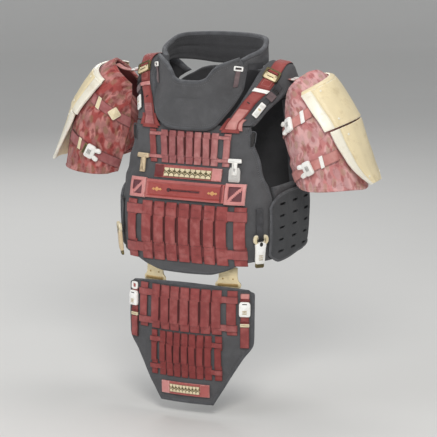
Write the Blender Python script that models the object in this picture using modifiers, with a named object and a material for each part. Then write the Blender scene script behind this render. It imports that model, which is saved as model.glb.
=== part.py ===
"""Modular textile armour set: padded front and back carriers with shoulder yokes, side pieces, a throat
guard and a stand-up collar, a hanging apron panel, two wrap-round upper-arm protectors with hard plates,
rows of flat webbing, moulded plates and side-release buckles.

Heights in the tables are in millimetres over the waist line. The part's origin is where the wearer's
shoulders carry it, SHOULDER_Z over the waist line, midway between the shoulders. The front faces -Y and
+X is the wearer's left.
"""
import bpy
import bmesh
from math import sin, cos, atan2, radians, degrees, hypot
from mathutils import Vector, Matrix

MM = 0.001
SHOULDER_Z = 386.0          # the yokes' bearing line over the waist line

# wall thicknesses and layers, in mm
CARRIER_T = 18.0            # padded carrier wall
YOKE_T = 16.0
BAND_T = 9.0
SIDE_PANEL_T = 6.0          # laminated side panel
COLLAR_T = 13.0
GUARD_T = 12.0
APRON_T = 10.0
SLEEVE_T = 7.0
WEB_T = 2.4                 # webbing
GAP = 1.2                   # between a piece and what it lies on

# torso outline: height, half width, front depth, back depth
TORSO = [
    (-120, 199, 157, 140), (-100, 200, 158, 142), (-60, 205, 163, 146), (-10, 209, 166, 150), (40, 211, 164, 150),
    (95, 209, 155, 146), (143, 205, 138, 140), (200, 200, 131, 132), (260, 193, 131, 126), (310, 186, 126, 120),
    (345, 180, 119, 113), (400, 168, 104, 101), (470, 150, 90, 90)]
FRONT_POWER, BACK_POWER = 4.0, 5.6

# front carrier's side edge: height, half width at the edge (the armhole above 115)
FRONT_EDGE = [(-120, 196), (-60, 202), (0, 205), (60, 206), (112, 199), (122, 194), (142, 187), (167, 182), (184, 177),
              (212, 166), (246, 159), (270, 157)]
FRONT_ROWS = [-113, -92, -62, -30, 5, 40, 72, 100, 122, 145, 170, 200, 230, 255]
# lower hem: half width, height
HEM = [(0, -113), (60, -111), (106, -99), (147, -80), (175, -74), (230, -74)]
# back carrier's top edge: half width, height
BACK_TOP = [(0, 377), (60, 375), (95, 368), (118, 356), (150, 338), (176, 312), (200, 306)]
BACK_ROWS = [0.0, 0.08, 0.2, 0.34, 0.48, 0.62, 0.76, 0.88, 1.0]
BACK_EDGE_Y = 30.0

# yoke sections from front to back: inner, mid, outer and drop points (x, y, z)
YOKE = [
    ((84, None, 257), (108, None, 257), (134, None, 257), (157, None, 257)),
    ((102, -111, 283), (126, -107, 281), (150, -97, 279), (171, -82, 277)),
    ((117, -92, 312), (140, -86, 310), (163, -75, 305), (184, -58, 297)),
    ((131, -68, 346), (155, -60, 342), (180, -48, 335), (200, -35, 317)),
    ((139, -35, 381), (166, -30, 379), (192, -22, 370), (211, -14, 335)),
    ((142, 0, 400), (172, 0, 400), (202, 2, 392), (214, 6, 346)),
    ((142, 36, 402), (172, 37, 400), (201, 40, 389), (212, 46, 342)),
    ((133, 72, 388), (161, 74, 381), (188, 74, 366), (201, 74, 328)),
    ((119, None, 358), (145, None, 343), (168, None, 322), (187, None, 311))]

# collar: angle from the front in degrees, base height, rim height
COLLAR_A, COLLAR_B, COLLAR_Y = 138.0, 105.0, 5.0
COLLAR = [(50, 379, 412), (62, 383, 423), (76, 388, 430), (90, 392, 438), (101, 393, 446), (113, 392, 454),
          (128, 390, 458), (145, 386, 459), (162, 381, 460), (180, 380, 460)]

# throat guard outline from the bottom centre to the side corner, and its rim: fraction, x, z
GUARD_LOW = [(0, 0, 241), (0.15, 30, 241.5), (0.3, 59, 246), (0.45, 80, 260.5), (0.58, 94, 280), (0.72, 108, 304),
             (0.86, 121, 340), (1.0, 127, 383)]
GUARD_RIM = [(0, 0, 364), (0.2, 25, 364.5), (0.36, 43, 370), (0.52, 60, 391), (0.68, 76, 404), (0.84, 96, 412),
             (1.0, 114, 419)]
GUARD_ROWS = [0.0, 0.12, 0.3, 0.5, 0.7, 0.88, 1.0]

# webbing rows on the chest and the apron: name, surface, strap centres, strap width, bottom, top, tape heights,
# tape width, half length of the tapes
WEB_ROWS = [
    ("chest_row", "front", (0, 23, 45.5, 68, 99), 15.0, 156.5, 238.5, (171, 228), 9.0, 107.0),
    ("waist_row", "front", (0, 34.5, 69, 103, 147.5), 25.5, -82.0, 64.0, (-53, 41), 24.0, 160.0),
    ("apron_upper_row", "apron", (0, 28, 56, 84, 121.5), 21.0, -257.5, -146.0, (-239, -169), 17.0, 132.0),
    ("apron_lower_row", "apron", (0, 21, 42, 63, 88.5), 14.0, -374.0, -261.0, (-353, -284), 13.0, 95.5)]

# apron: height, half width, centre depth
APRON = [(-134, 160, -158), (-156, 174, -160), (-186, 174, -161), (-232, 174, -162), (-277, 173, -162), (-318, 148, -162),
         (-360, 122, -161), (-400, 98, -160), (-440, 73, -158)]
APRON_BEND = 0.0012

# arm protector: axis ends, then fraction along the axis, side radius, front radius
ARM_TOP, ARM_END = (262, -2, 352), (330, -6, 108)
ARM = [(-0.14, 18, 20), (-0.11, 32, 36), (-0.05, 47, 54), (0.0, 55, 62), (0.15, 70, 73), (0.3, 82, 81), (0.45, 91, 86),
       (0.7, 91, 85), (1.0, 84, 80), (1.15, 80, 77)]
# hem of the sleeve: angle from the outer side towards the front, fraction along the axis
ARM_HEM = [(-225, 0.84), (-200, 0.72), (-180, 0.68), (-155, 0.70), (-125, 0.80), (-90, 0.93), (-45, 1.04), (0, 1.09),
           (45, 1.06), (90, 1.02), (130, 0.97), (152, 0.92)]
SLEEVE_FROM, SLEEVE_TO, SLEEVE_COLS = -222.0, 152.0, 25
# upper edge of the sleeve, closed over the shoulder and open towards the neck
ARM_BRIM = [(-222, 0.10), (-200, 0.14), (-175, 0.19), (-150, 0.17), (-120, 0.07), (-90, -0.01), (-45, -0.10), (0, -0.13),
            (45, -0.13), (90, -0.10), (125, -0.04), (152, 0.03)]
SLEEVE_ROWS = [0.0, 0.1, 0.22, 0.36, 0.5, 0.64, 0.78, 0.9, 1.0]
# plates: fraction along the axis, front angle, rear angle, standoff from the sleeve, slant of the front corner
UPPER_PLATE = [(-0.03, 84, -74, 7, 0.13), (0.06, 78, -70, 8, 0.115), (0.17, 72, -66, 8.5, 0.10), (0.28, 66, -62, 9, 0.09),
               (0.395, 61, -58, 10, 0.075)]
LOWER_PLATE = [(0.405, 54, -56, 9, 0.075), (0.54, 50, -52, 11, 0.07), (0.66, 45, -46, 14, 0.06), (0.78, 39, -38, 18.5, 0.05),
               (0.90, 29, -26, 24, 0.04), (1.02, 17, -14, 31, 0.02)]
PLATE_T = 5.0

DARK = ((0.105, 0.105, 0.108, 1), 0.85, 0.0)
DARK_TRIM = ((0.07, 0.07, 0.073, 1), 0.7, 0.0)
RED = ((0.33, 0.075, 0.078, 1), 0.62, 0.0)
PRINT = ((0.36, 0.10, 0.10, 1), 0.7, 0.0)
CREAM = ((0.80, 0.72, 0.53, 1), 0.45, 0.0)
WHITE = ((0.80, 0.78, 0.70, 1), 0.4, 0.0)
GOLD = ((0.62, 0.52, 0.31, 1), 0.35, 0.85)
OLIVE = ((0.30, 0.26, 0.14, 1), 0.4, 0.7)
PINK = ((0.66, 0.40, 0.37, 1), 0.5, 0.0)


# ---------------------------------------------------------------- numbers
def table(rows, at, col):
    """Smooth value of a column at a height or angle, from rows sorted by their first column."""
    rows = sorted(rows)
    if at <= rows[0][0]:
        return rows[0][col]
    if at >= rows[-1][0]:
        return rows[-1][col]
    i = max(k for k in range(len(rows) - 1) if rows[k][0] <= at)
    a, b = rows[i], rows[i + 1]
    h = b[0] - a[0]
    u = (at - a[0]) / h

    def slope(k):
        if k == 0 or k == len(rows) - 1:
            return None
        p, q, r = rows[k - 1], rows[k], rows[k + 1]
        s0, s1 = (q[col] - p[col]) / (q[0] - p[0]), (r[col] - q[col]) / (r[0] - q[0])
        return 0.0 if s0 * s1 <= 0 else 2 * s0 * s1 / (s0 + s1)

    step = (b[col] - a[col]) / h
    m0, m1 = slope(i), slope(i + 1)
    m0 = step if m0 is None else m0
    m1 = step if m1 is None else m1
    return ((2 * u ** 3 - 3 * u ** 2 + 1) * a[col] + (u ** 3 - 2 * u ** 2 + u) * h * m0
            + (-2 * u ** 3 + 3 * u ** 2) * b[col] + (u ** 3 - u ** 2) * h * m1)


def spread(n, lo=-1.0, hi=1.0):
    return [lo + (hi - lo) * i / n for i in range(n + 1)]


def smooth(a, b, x):
    u = min(1.0, max(0.0, (x - a) / (b - a)))
    return u * u * (3 - 2 * u)


# ---------------------------------------------------------------- surfaces: each gives a point and its normal
def normal_of(surface, a, b, da=0.5, db=0.5):
    u = surface(a + da, b) - surface(a - da, b)
    v = surface(a, b + db) - surface(a, b - db)
    return u.cross(v).normalized()


def front_point(x, z):
    w, f = table(TORSO, z, 1), table(TORSO, z, 2)
    return Vector((x, -f * max(0.0, 1 - (abs(x) / w) ** FRONT_POWER) ** (1 / FRONT_POWER), z))


def front(x, z):
    return front_point(x, z), normal_of(front_point, x, z)


def ring_point(angle, z):
    """Torso outline by the angle from the front centre, in degrees, positive to the wearer's left."""
    s, c = sin(radians(angle)), -cos(radians(angle))
    w = table(TORSO, z, 1)
    d, n = (table(TORSO, z, 2), FRONT_POWER) if c < 0 else (table(TORSO, z, 3), BACK_POWER)
    r = ((abs(s) / w) ** n + (abs(c) / d) ** n) ** (-1 / n)
    return Vector((r * s, r * c, z))


def ring(angle, z):
    return ring_point(angle, z), normal_of(ring_point, angle, z)


def front_angle(x, z):
    p = front_point(x, z)
    return degrees(atan2(p.x, -p.y))


def back_point(x, z):
    w, b = table(TORSO, z, 1), table(TORSO, z, 3)
    return Vector((x, b * max(0.0, 1 - (abs(x) / w) ** BACK_POWER) ** (1 / BACK_POWER), z))


def guard_point(x, z):
    w = smooth(262, 345, z)
    on_chest = front_point(x, min(z, 262)).y - GUARD_T - 1.6
    as_collar = -145 + 75 * (x / 128) ** 2
    return Vector((x, on_chest * (1 - w) + as_collar * w, z))


def guard(x, z):
    return guard_point(x, z), normal_of(guard_point, x, z)


def apron_point(x, z):
    return Vector((x, table(APRON, z, 2) + APRON_BEND * x * x, z))


def apron(x, z):
    return apron_point(x, z), normal_of(apron_point, x, z)


def collar_point(angle, z):
    return Vector((COLLAR_A * sin(radians(angle)), COLLAR_Y - COLLAR_B * cos(radians(angle)), z))


def collar(angle, z):
    return collar_point(angle, z), normal_of(collar_point, angle, z)


def yoke_rows():
    rows = []
    for k, section in enumerate(YOKE):
        row = []
        for x, y, z in section:
            if y is None:
                y = front_point(x, z).y if k == 0 else back_point(x, z).y
            row.append(Vector((x, y, z)))
        rows.append(row)
    return rows


YOKE_PTS = yoke_rows()


def catmull(pts, u):
    """Point at u in 0 .. len-1 on a smooth line through the points."""
    n = len(pts) - 1
    i = min(n - 1, max(0, int(u)))
    f = u - i
    p1, p2 = pts[i], pts[i + 1]
    p0 = pts[i - 1] if i > 0 else p1 * 2 - p2
    p3 = pts[i + 2] if i + 2 <= n else p2 * 2 - p1
    return 0.5 * ((2 * p1) + (p2 - p0) * f + (2 * p0 - 5 * p1 + 4 * p2 - p3) * f * f
                  + (3 * p1 - p0 - 3 * p2 + p3) * f ** 3)


def yoke_point(across, along):
    """across 0 at the neck to 3 at the arm, along 0 at the front to 8 at the back (the wearer's left yoke)."""
    return catmull([catmull(row, across) for row in YOKE_PTS], along)


def yoke(across, along):
    u0, u1 = max(0.0, across - 0.02), min(3.0, across + 0.02)
    v0, v1 = max(0.0, along - 0.02), min(8.0, along + 0.02)
    u = yoke_point(u1, along) - yoke_point(u0, along)
    v = yoke_point(across, v1) - yoke_point(across, v0)
    return yoke_point(across, along), u.cross(v).normalized()


# arm link: middle of its under side, direction across it, normal
ARM_LINK = [((209.6, -2, 363.5), (0.27, 0.96, 0), (0.55, -0.1, 0.85)), ((219, -3, 361.5), (0.1, 1, 0), (0.1, -0.1, 1)),
            ((236, -4, 361), (0, 1, 0), (-0.1, 0, 1)), ((256, -2, 364), (0, 1, 0), (-0.2, 0, 1)),
            ((270, 1, 369.5), (0, 1, 0), (-0.2, 0, 1)), ((278.5, 3, 372.5), (0, 1, 0), (0.3, 0, 0.95)),
            ((288, 3, 368.8), (0, 1, 0), (0.48, 0, 0.88))]
ARM_A, ARM_B = Vector(ARM_TOP), Vector(ARM_END)
ARM_D = (ARM_B - ARM_A).normalized()
ARM_F = (Vector((0, -1, 0)) - ARM_D * ARM_D.dot(Vector((0, -1, 0)))).normalized()
ARM_L = ARM_F.cross(ARM_D).normalized()
if ARM_L.x < 0:
    ARM_L = -ARM_L


def arm(angle, t):
    """Outer face of the sleeve: angle from the outer side towards the front, fraction along the axis."""
    a = radians(angle)
    rl, rf = table(ARM, t, 1), table(ARM, t, 2)
    tuck = -(SLEEVE_T + 3.0) * (1 - smooth(-192, -150, angle))
    p = ARM_A + (ARM_B - ARM_A) * t + ARM_L * (rl * cos(a)) + ARM_F * (rf * sin(a))
    flat = (ARM_L * (cos(a) / rl) + ARM_F * (sin(a) / rf)).normalized()
    grow = (table(ARM, t + 0.02, 1) - table(ARM, t - 0.02, 1)) / (0.04 * (ARM_B - ARM_A).length)
    n = (flat - ARM_D * grow).normalized()
    return p + flat * tuck, n


# ---------------------------------------------------------------- builders
def clear_scene():
    for ob in list(bpy.data.objects):
        bpy.data.objects.remove(ob, do_unlink=True)
    for coll in list(bpy.data.collections):
        bpy.data.collections.remove(coll)


def collection(name):
    coll = bpy.data.collections.new(name)
    bpy.context.scene.collection.children.link(coll)
    return coll


clear_scene()
PART = collection("armour_set")
CUTTERS = collection("cutters")
ORIGIN = bpy.data.objects.new("shoulder_origin", None)
PART.objects.link(ORIGIN)
PALETTE = {}


def material(name, look):
    mat = bpy.data.materials.new(name)
    mat.use_nodes = True
    bsdf = mat.node_tree.nodes["Principled BSDF"]
    bsdf.inputs["Base Color"].default_value = look[0]
    bsdf.inputs["Roughness"].default_value = look[1]
    bsdf.inputs["Metallic"].default_value = look[2]
    return mat


def place(name, mesh, look, hidden=False):
    ob = bpy.data.objects.new(name, mesh)
    (CUTTERS if hidden else PART).objects.link(ob)
    if hidden:
        ob.hide_render = True
        ob.display_type = "WIRE"
    else:
        ob.data.materials.append(material(name, look))
        ob.parent = ORIGIN
    return ob


def put(p):
    """Table millimetres over the waist line to metres from the shoulder origin."""
    return Vector((p[0] * MM, p[1] * MM, (p[2] - SHOULDER_Z) * MM))


def mirrored(p, side):
    return Vector((p[0] * side, p[1], p[2]))


def loft_mesh(name, cells, low, high, side=1, look=RED, hidden=False, closed=False):
    """Closed solid over a grid of (point, normal) cells, from low to high along the normals.
    low and high are numbers or functions of (row, column)."""
    at = lambda v, r, c: v(r, c) if callable(v) else v
    bm = bmesh.new()
    rows, cols = len(cells), len(cells[0])
    bottom, top = [], []
    for r in range(rows):
        bottom.append([bm.verts.new(put(mirrored(p + n * at(low, r, c), side))) for c, (p, n) in enumerate(cells[r])])
        top.append([bm.verts.new(put(mirrored(p + n * at(high, r, c), side))) for c, (p, n) in enumerate(cells[r])])
    for r in range(rows - 1):
        for c in range(cols if closed else cols - 1):
            d = (c + 1) % cols
            bm.faces.new((top[r][c], top[r][d], top[r + 1][d], top[r + 1][c]))
            bm.faces.new((bottom[r][c], bottom[r + 1][c], bottom[r + 1][d], bottom[r][d]))
    for c in range(cols if closed else cols - 1):
        d = (c + 1) % cols
        bm.faces.new((bottom[0][c], bottom[0][d], top[0][d], top[0][c]))
        bm.faces.new((bottom[-1][d], bottom[-1][c], top[-1][c], top[-1][d]))
    if not closed:
        for r in range(rows - 1):
            bm.faces.new((bottom[r + 1][0], bottom[r][0], top[r][0], top[r + 1][0]))
            bm.faces.new((bottom[r][-1], bottom[r + 1][-1], top[r + 1][-1], top[r][-1]))
    bmesh.ops.recalc_face_normals(bm, faces=bm.faces)
    mesh = bpy.data.meshes.new(name)
    bm.to_mesh(mesh)
    bm.free()
    return place(name, mesh, look, hidden)


def sheet(name, cells, thickness, side=1, look=DARK, keep="outer"):
    """Open lofted face through the cells, given its wall with a Solidify modifier."""
    bm = bmesh.new()
    grid = [[bm.verts.new(put(mirrored(p, side))) for p, n in row] for row in cells]
    for r in range(len(grid) - 1):
        for c in range(len(grid[0]) - 1):
            bm.faces.new((grid[r][c], grid[r][c + 1], grid[r + 1][c + 1], grid[r + 1][c]))
    bm.normal_update()
    mid = list(bm.faces)[len(bm.faces) // 2]
    r, c = divmod(len(bm.faces) // 2, len(grid[0]) - 1)
    if mid.normal.dot(mirrored(cells[r][c][1], side)) < 0:
        bmesh.ops.reverse_faces(bm, faces=bm.faces)
    mesh = bpy.data.meshes.new(name)
    bm.to_mesh(mesh)
    bm.free()
    ob = place(name, mesh, look)
    mod = ob.modifiers.new("wall", "SOLIDIFY")
    mod.thickness = thickness * MM
    mod.offset = -1.0 if keep == "outer" else 1.0
    mod.use_even_offset = False
    return ob


def pose_of(p, n, up, side=1, lift=0.0):
    """Matrix with local Z out of the surface and local Y along up."""
    n = mirrored(n, side).normalized()
    up = mirrored(up, side)
    y = (up - n * up.dot(n)).normalized()
    x = y.cross(n)
    m = Matrix((x, y, n)).transposed().to_4x4()
    m.translation = put(mirrored(p, side)) + n * lift * MM
    return m


def outline(name, loops, thickness, pose, look):
    """Flat piece from closed outlines (the first is the outer one), its lower face on the pose's origin."""
    curve = bpy.data.curves.new(name, "CURVE")
    curve.dimensions = "2D"
    curve.fill_mode = "BOTH"
    curve.extrude = thickness * MM / 2
    for loop in loops:
        spline = curve.splines.new("POLY")
        spline.points.add(len(loop) - 1)
        for pt, (x, y) in zip(spline.points, loop):
            pt.co = (x * MM, y * MM, 0, 1)
        spline.use_cyclic_u = True
    ob = place(name, curve, look)
    ob.matrix_world = pose @ Matrix.Translation((0, 0, thickness * MM / 2))
    return ob


def block(name, size, pose, look, bevel=1.0):
    """Box with rounded edges, its lower face on the pose's origin."""
    bpy.ops.mesh.primitive_cube_add(size=1)
    ob = bpy.context.active_object
    ob.name = name
    for coll in list(ob.users_collection):
        coll.objects.unlink(ob)
    PART.objects.link(ob)
    for v in ob.data.vertices:
        v.co = Vector((v.co.x * size[0] * MM, v.co.y * size[1] * MM, (v.co.z + 0.5) * size[2] * MM))
    ob.data.materials.append(material(name, look))
    ob.parent = ORIGIN
    ob.matrix_world = pose
    if bevel:
        mod = ob.modifiers.new("edges", "BEVEL")
        mod.width = bevel * MM
        mod.segments = 1
    return ob


def boolean(ob, other, operation):
    mod = ob.modifiers.new(operation.lower(), "BOOLEAN")
    mod.operation = operation
    mod.object = other
    mod.solver = "EXACT"
    return mod


def cells_of(surface, xs, zs):
    return [[surface(x, z) for x in xs] for z in zs]


def both(name):
    return ((1, name + "_L"), (-1, name + "_R"))


# ---------------------------------------------------------------- carriers
def front_carrier():
    cells = []
    for z0 in FRONT_ROWS:
        edge = front_angle(table(FRONT_EDGE, z0, 1), z0)
        row = []
        for c in spread(22):
            a = c * edge
            x = abs(ring_point(a, z0).x)
            drop = (table(HEM, x, 1) + 113) * (1 - smooth(-113, -20, z0))
            row.append(ring(a, z0 + drop))
        cells.append(row)
    sheet("front_carrier", cells, CARRIER_T)


def back_carrier():
    cells = []
    cols = spread(22)
    for v in BACK_ROWS:
        row = []
        for c in cols:
            side_z = -78 + (308 + 78) * v
            edge = 180 - degrees(atan2(table(TORSO, side_z, 1), -BACK_EDGE_Y))
            # columns by angle at a nominal height, then the true height of this column's top edge
            a = 180 - c * edge
            x = abs(ring_point(a, side_z).x)
            top = table(BACK_TOP, x, 1)
            z = -78 + (top + 78) * v
            row.append(ring(a, z))
        cells.append(row)
    sheet("back_carrier", cells, CARRIER_T)


def side_bands():
    for side, name in both("side_band"):
        cells = []
        for z in (-70, -46, -18, 12, 40, 70, 94, 108):
            start = front_angle(table(FRONT_EDGE, z, 1), z) + (4.5 if z < -10 else 2.4)
            end = degrees(atan2(table(TORSO, z, 1), -(BACK_EDGE_Y - 1.5)))
            cells.append([ring(start + (end - start) * c, z) for c in spread(6, 0, 1)])
        sheet(name, cells, BAND_T, side)


def side_panels():
    """Laminated outer side panel: angle, lower and upper height of its cut outline."""
    cut = [(62.5, -58, 60), (66, -68, 76), (74, -80, 90), (88, -78, 94), (100, -72, 94), (112, -66, 90), (124, -56, 66)]
    for side, name in both("side_panel"):
        cells = []
        for v in spread(5, 0, 1):
            row = []
            for a in spread(12, 62.5, 124):
                lo, hi = table(cut, a, 1), table(cut, a, 2)
                z = lo + (hi - lo) * v
                p, n = ring(a, z)
                row.append((p + n * 1.6, n))
            cells.append(row)
        sheet(name, cells, SIDE_PANEL_T, side, DARK, keep="inner")


def yokes():
    for side, name in both("shoulder_yoke"):
        cells = []
        for r in range(17):
            trim = 0.05 if r == 0 else (-0.05 if r == 16 else 0.0)
            row = [yoke(c, r / 2 + trim) for c in (0, 0.5, 1, 1.5, 2, 2.35, 2.7, 3)]
            if r in (0, 16):        # the ends butt squarely against the carriers
                row = [(p, Vector((n.x, n.y, 0)).normalized()) for p, n in row]
            cells.append(row)
        loft_mesh(name, cells, -YOKE_T, 0, side, DARK)


def collar_piece():
    angles = [50, 62, 76, 90, 101, 113, 128, 145, 162, 180]
    angles = angles + [360 - a for a in reversed(angles[:-1])]
    cells = []
    for v in (0.0, 0.35, 0.7, 1.0):
        row = []
        for a in angles:
            b = a if a <= 180 else 360 - a
            lo, hi = table(COLLAR, b, 1), table(COLLAR, b, 2)
            p, n = collar(a, lo + (hi - lo) * v)
            row.append((p, n))
        cells.append(row)
    sheet("collar", cells, COLLAR_T)


def throat_guard():
    cells = []
    for v in GUARD_ROWS:
        row = []
        for c in spread(16):
            s = 1 if c >= 0 else -1
            lx, lz = table(GUARD_LOW, abs(c), 1), table(GUARD_LOW, abs(c), 2)
            rx, rz = table(GUARD_RIM, abs(c), 1), table(GUARD_RIM, abs(c), 2)
            row.append(guard(s * (lx + (rx - lx) * v), lz + (rz - lz) * v))
        cells.append(row)
    sheet("throat_guard", cells, GUARD_T)
    # short tie from the guard's corner to the collar
    for side, name in both("guard_tie"):
        tie = [[collar(a, z) for a in (58, 66, 74, 82)] for z in (386, 394, 402)]
        loft_mesh(name, tie, GAP, GAP + WEB_T, side, DARK_TRIM)


# ---------------------------------------------------------------- webbing
def web_row(name, surface, centres, width, low, high, tapes, tape_w, half):
    """Upright straps over two level tapes, sewn into one grid."""
    face = {"front": front, "apron": apron}[surface]
    xs = sorted({s * c for c in centres for s in (-1, 1)})
    t0, t1 = tapes
    stations = [low, t0 - tape_w / 2 - 1, t0 + tape_w / 2 + 1, (t0 + t1) / 2, t1 - tape_w / 2 - 1, t1 + tape_w / 2 + 1, high]
    rise = [0, 1, 1, 0, 1, 1, 0]
    straps = None
    bm_all = bmesh.new()
    for k, x in enumerate(xs):
        cells = cells_of(face, (x - width / 2, x + width / 2), stations)
        ob = loft_mesh(f"{name}_strap_{k}", cells, GAP, lambda r, c: GAP + WEB_T + 2.2 * rise[r] + 0.6, hidden=True)
        bm_all.from_mesh(ob.data)
        bpy.data.objects.remove(ob, do_unlink=True)
    mesh = bpy.data.meshes.new(name)
    bm_all.to_mesh(mesh)
    bm_all.free()
    straps = place(name, mesh, RED)
    for t in tapes:
        n = 8 if surface == "apron" else 12
        cells = cells_of(face, spread(n, -half, half), (t - tape_w / 2, t + tape_w / 2))
        tape = loft_mesh(f"{name}_tape_{int(t)}", cells, GAP + 0.7, GAP + 0.7 + WEB_T, hidden=True)
        boolean(straps, tape, "UNION")
    return straps


def shoulder_straps():
    """Red strap from the chest over the yoke: (surface, centre along, centre across, half width across)."""
    route = [("front", 240.5, 109, 21), ("front", 252, 111, 18), ("yoke", 0.25, 1.06, 0.60), ("yoke", 0.6, 1.0, 0.60),
             ("yoke", 1.0, 0.92, 0.62), ("yoke", 1.5, 0.92, 0.62), ("yoke", 2.0, 0.94, 0.62), ("yoke", 2.5, 1.05, 0.61),
             ("yoke", 3.0, 1.2, 0.60), ("yoke", 3.5, 1.3, 0.58), ("yoke", 4.0, 1.36, 0.54), ("yoke", 4.5, 1.36, 0.5),
             ("yoke", 5.0, 1.3, 0.5), ("yoke", 5.6, 1.26, 0.5), ("yoke", 6.2, 1.2, 0.5), ("yoke", 6.9, 1.1, 0.5),
             ("yoke", 7.6, 1.0, 0.5)]

    def rows(items):
        out = []
        for kind, along, mid, half in items:
            if kind == "front":
                out.append([front(mid + half * c, along) for c in (-1, -0.33, 0.33, 1)])
            else:
                out.append([yoke(mid + half * c, along) for c in (-1, -0.33, 0.33, 1)])
        return out

    for side, name in both("shoulder_strap"):
        loft_mesh(name, rows(route), GAP + 1.0, GAP + 1.0 + WEB_T, side, RED)
    # flat two-part buckle on top of each strap
    for side, name in both("shoulder_buckle"):
        p, n = yoke(1.35, 3.82)
        up = yoke_point(1.35, 4.1) - yoke_point(1.35, 3.54)
        outer = [(-18, -15), (18, -15), (20, -11), (20, 10), (16, 15), (-16, 15), (-20, 10), (-20, -11)]
        outline(name, [outer], 6.0, pose_of(p, n, up, side, GAP + WEB_T + 2.0), GOLD)


def tab_straps():
    """Dark strap beside the red one, with its pale adjuster tab."""
    route = [(1.15, 2.28), (1.6, 2.22), (2.1, 2.2), (2.6, 2.22), (3.1, 2.24), (3.6, 2.24)]
    for side, name in both("tab_strap"):
        cells = [[yoke(a + 0.28 * c, s) for c in (-1, 0, 1)] for s, a in route]
        loft_mesh(name, cells, GAP, GAP + WEB_T, side, DARK_TRIM)
    for side, name in both("adjuster_tab"):
        p, n = yoke(2.2, 1.55)
        up = yoke_point(2.2, 2.0) - yoke_point(2.2, 1.1)
        block(name, (15, 42, 3.5), pose_of(p, n, up, side, GAP + WEB_T + 1.4), WHITE, 1.0)


def chest_trim():
    strip = cells_of(front, spread(10, -92, 92), (120.5, 136, 152))
    loft_mesh("chest_strip", strip, GAP, GAP + 3.0, look=RED)
    lacing = cells_of(front, spread(8, -65, 65), (123.5, 134, 145))
    loft_mesh("chest_lacing", lacing, GAP + 4.0, GAP + 6.0, look=CREAM)
    bar = cells_of(front, spread(10, -107, 107), (71, 74, 111, 114))
    loft_mesh("chest_bar", bar, GAP, lambda r, c: GAP + (7.0 if r in (0, 3) else 9.0), look=RED)
    for side, name in both("bar_end"):
        end = cells_of(front, (108.2, 112, 124, 135, 146, 157.5, 161), (66, 70, 92, 114, 118))
        loft_mesh(name, end, GAP, lambda r, c: GAP + (9.0 if r in (0, 4) or c in (0, 6) else 11.5), side, PINK)
    for side, name in both("chest_clip"):
        p, n = front(124, 148)
        shape = [(-13.5, -26), (13.5, -26), (14.5, -22), (14.5, 4), (10, 9), (6, 11), (6, 22), (16.5, 22), (16.5, 29),
                 (13, 31), (-13, 31), (-16.5, 29), (-16.5, 22), (-6, 22), (-6, 11), (-10, 9), (-14.5, 4), (-14.5, -22)]
        outline(name, [shape], 6.5, pose_of(p, n, Vector((0, 0, 1)), side, 2.8), CREAM)


def side_buckles():
    for side, name in both("waist_buckle_strap"):
        cells = [[ring(a, z) for a in (52.6, 55.6, 58.6)] for z in (-14, 4, 24, 42, 60)]
        loft_mesh(name, cells, 2.0, 2.0 + WEB_T + 0.6, side, DARK_TRIM)
    for side, name in both("waist_buckle"):
        p, n = ring(55.6, -46)
        body = [(-11, -38), (11, -38), (12, -30), (16, 8), (17, 24), (19, 32), (19, 45), (16, 49), (-16, 49), (-19, 45),
                (-19, 32), (-17, 24), (-16, 8), (-12, -30)]
        outline(name, [body], 8.0, pose_of(p, n, Vector((0, 0, 1)), side, 6.4), WHITE)


# ---------------------------------------------------------------- apron
def apron_piece():
    cells = []
    for z, half, depth in APRON:
        row = []
        for c in spread(14):
            x = c * half
            drop = -10 * c * c * (1 if z == APRON[0][0] else 0)
            row.append(apron(x, z + drop))
        cells.append(row)
    sheet("apron", cells, APRON_T)
    strip = cells_of(apron, spread(6, -66, 66), (-419, -403, -387))
    loft_mesh("apron_strip", strip, GAP, GAP + 3.0, look=RED)
    lacing = cells_of(apron, spread(4, -41, 41), (-413, -403, -393))
    loft_mesh("apron_lacing", lacing, GAP + 4.0, GAP + 6.0, look=CREAM)
    for side, name in both("apron_strap"):
        zs = (-288, -270, -252, -232, -212, -190, -170, -152)
        thick = (2.2, 2.2, 2.2, 0, 0, 0, 0, 0)
        cells = cells_of(apron, (142, 152, 162), zs)
        loft_mesh(name, cells, GAP, lambda r, c: GAP + WEB_T + thick[r], side, RED)
    for side, name in both("apron_buckle"):
        p, n = apron_point(152, -190), apron(152, -190)[1]
        body = [(-12, -19), (12, -19), (14, -15), (14, 12), (10, 18), (-10, 18), (-14, 12), (-14, -15)]
        outline(name, [body], 7.0, pose_of(p, n, Vector((0, 0, 1)), side, GAP + WEB_T + 0.8), WHITE)
    for side, name in both("apron_clip"):
        outer = [(-31, -26), (31, -26), (33, -21), (33, -15), (26, -8), (24, 2), (24, 26), (-24, 26), (-24, 2),
                 (-26, -8), (-33, -15), (-33, -21)]
        up = Vector((0, 0, 1))
        outline(name, [outer], 5.0, pose_of(Vector((101, -122, -118)), Vector((0.18, -1, 0)), up, side), GOLD)


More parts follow.
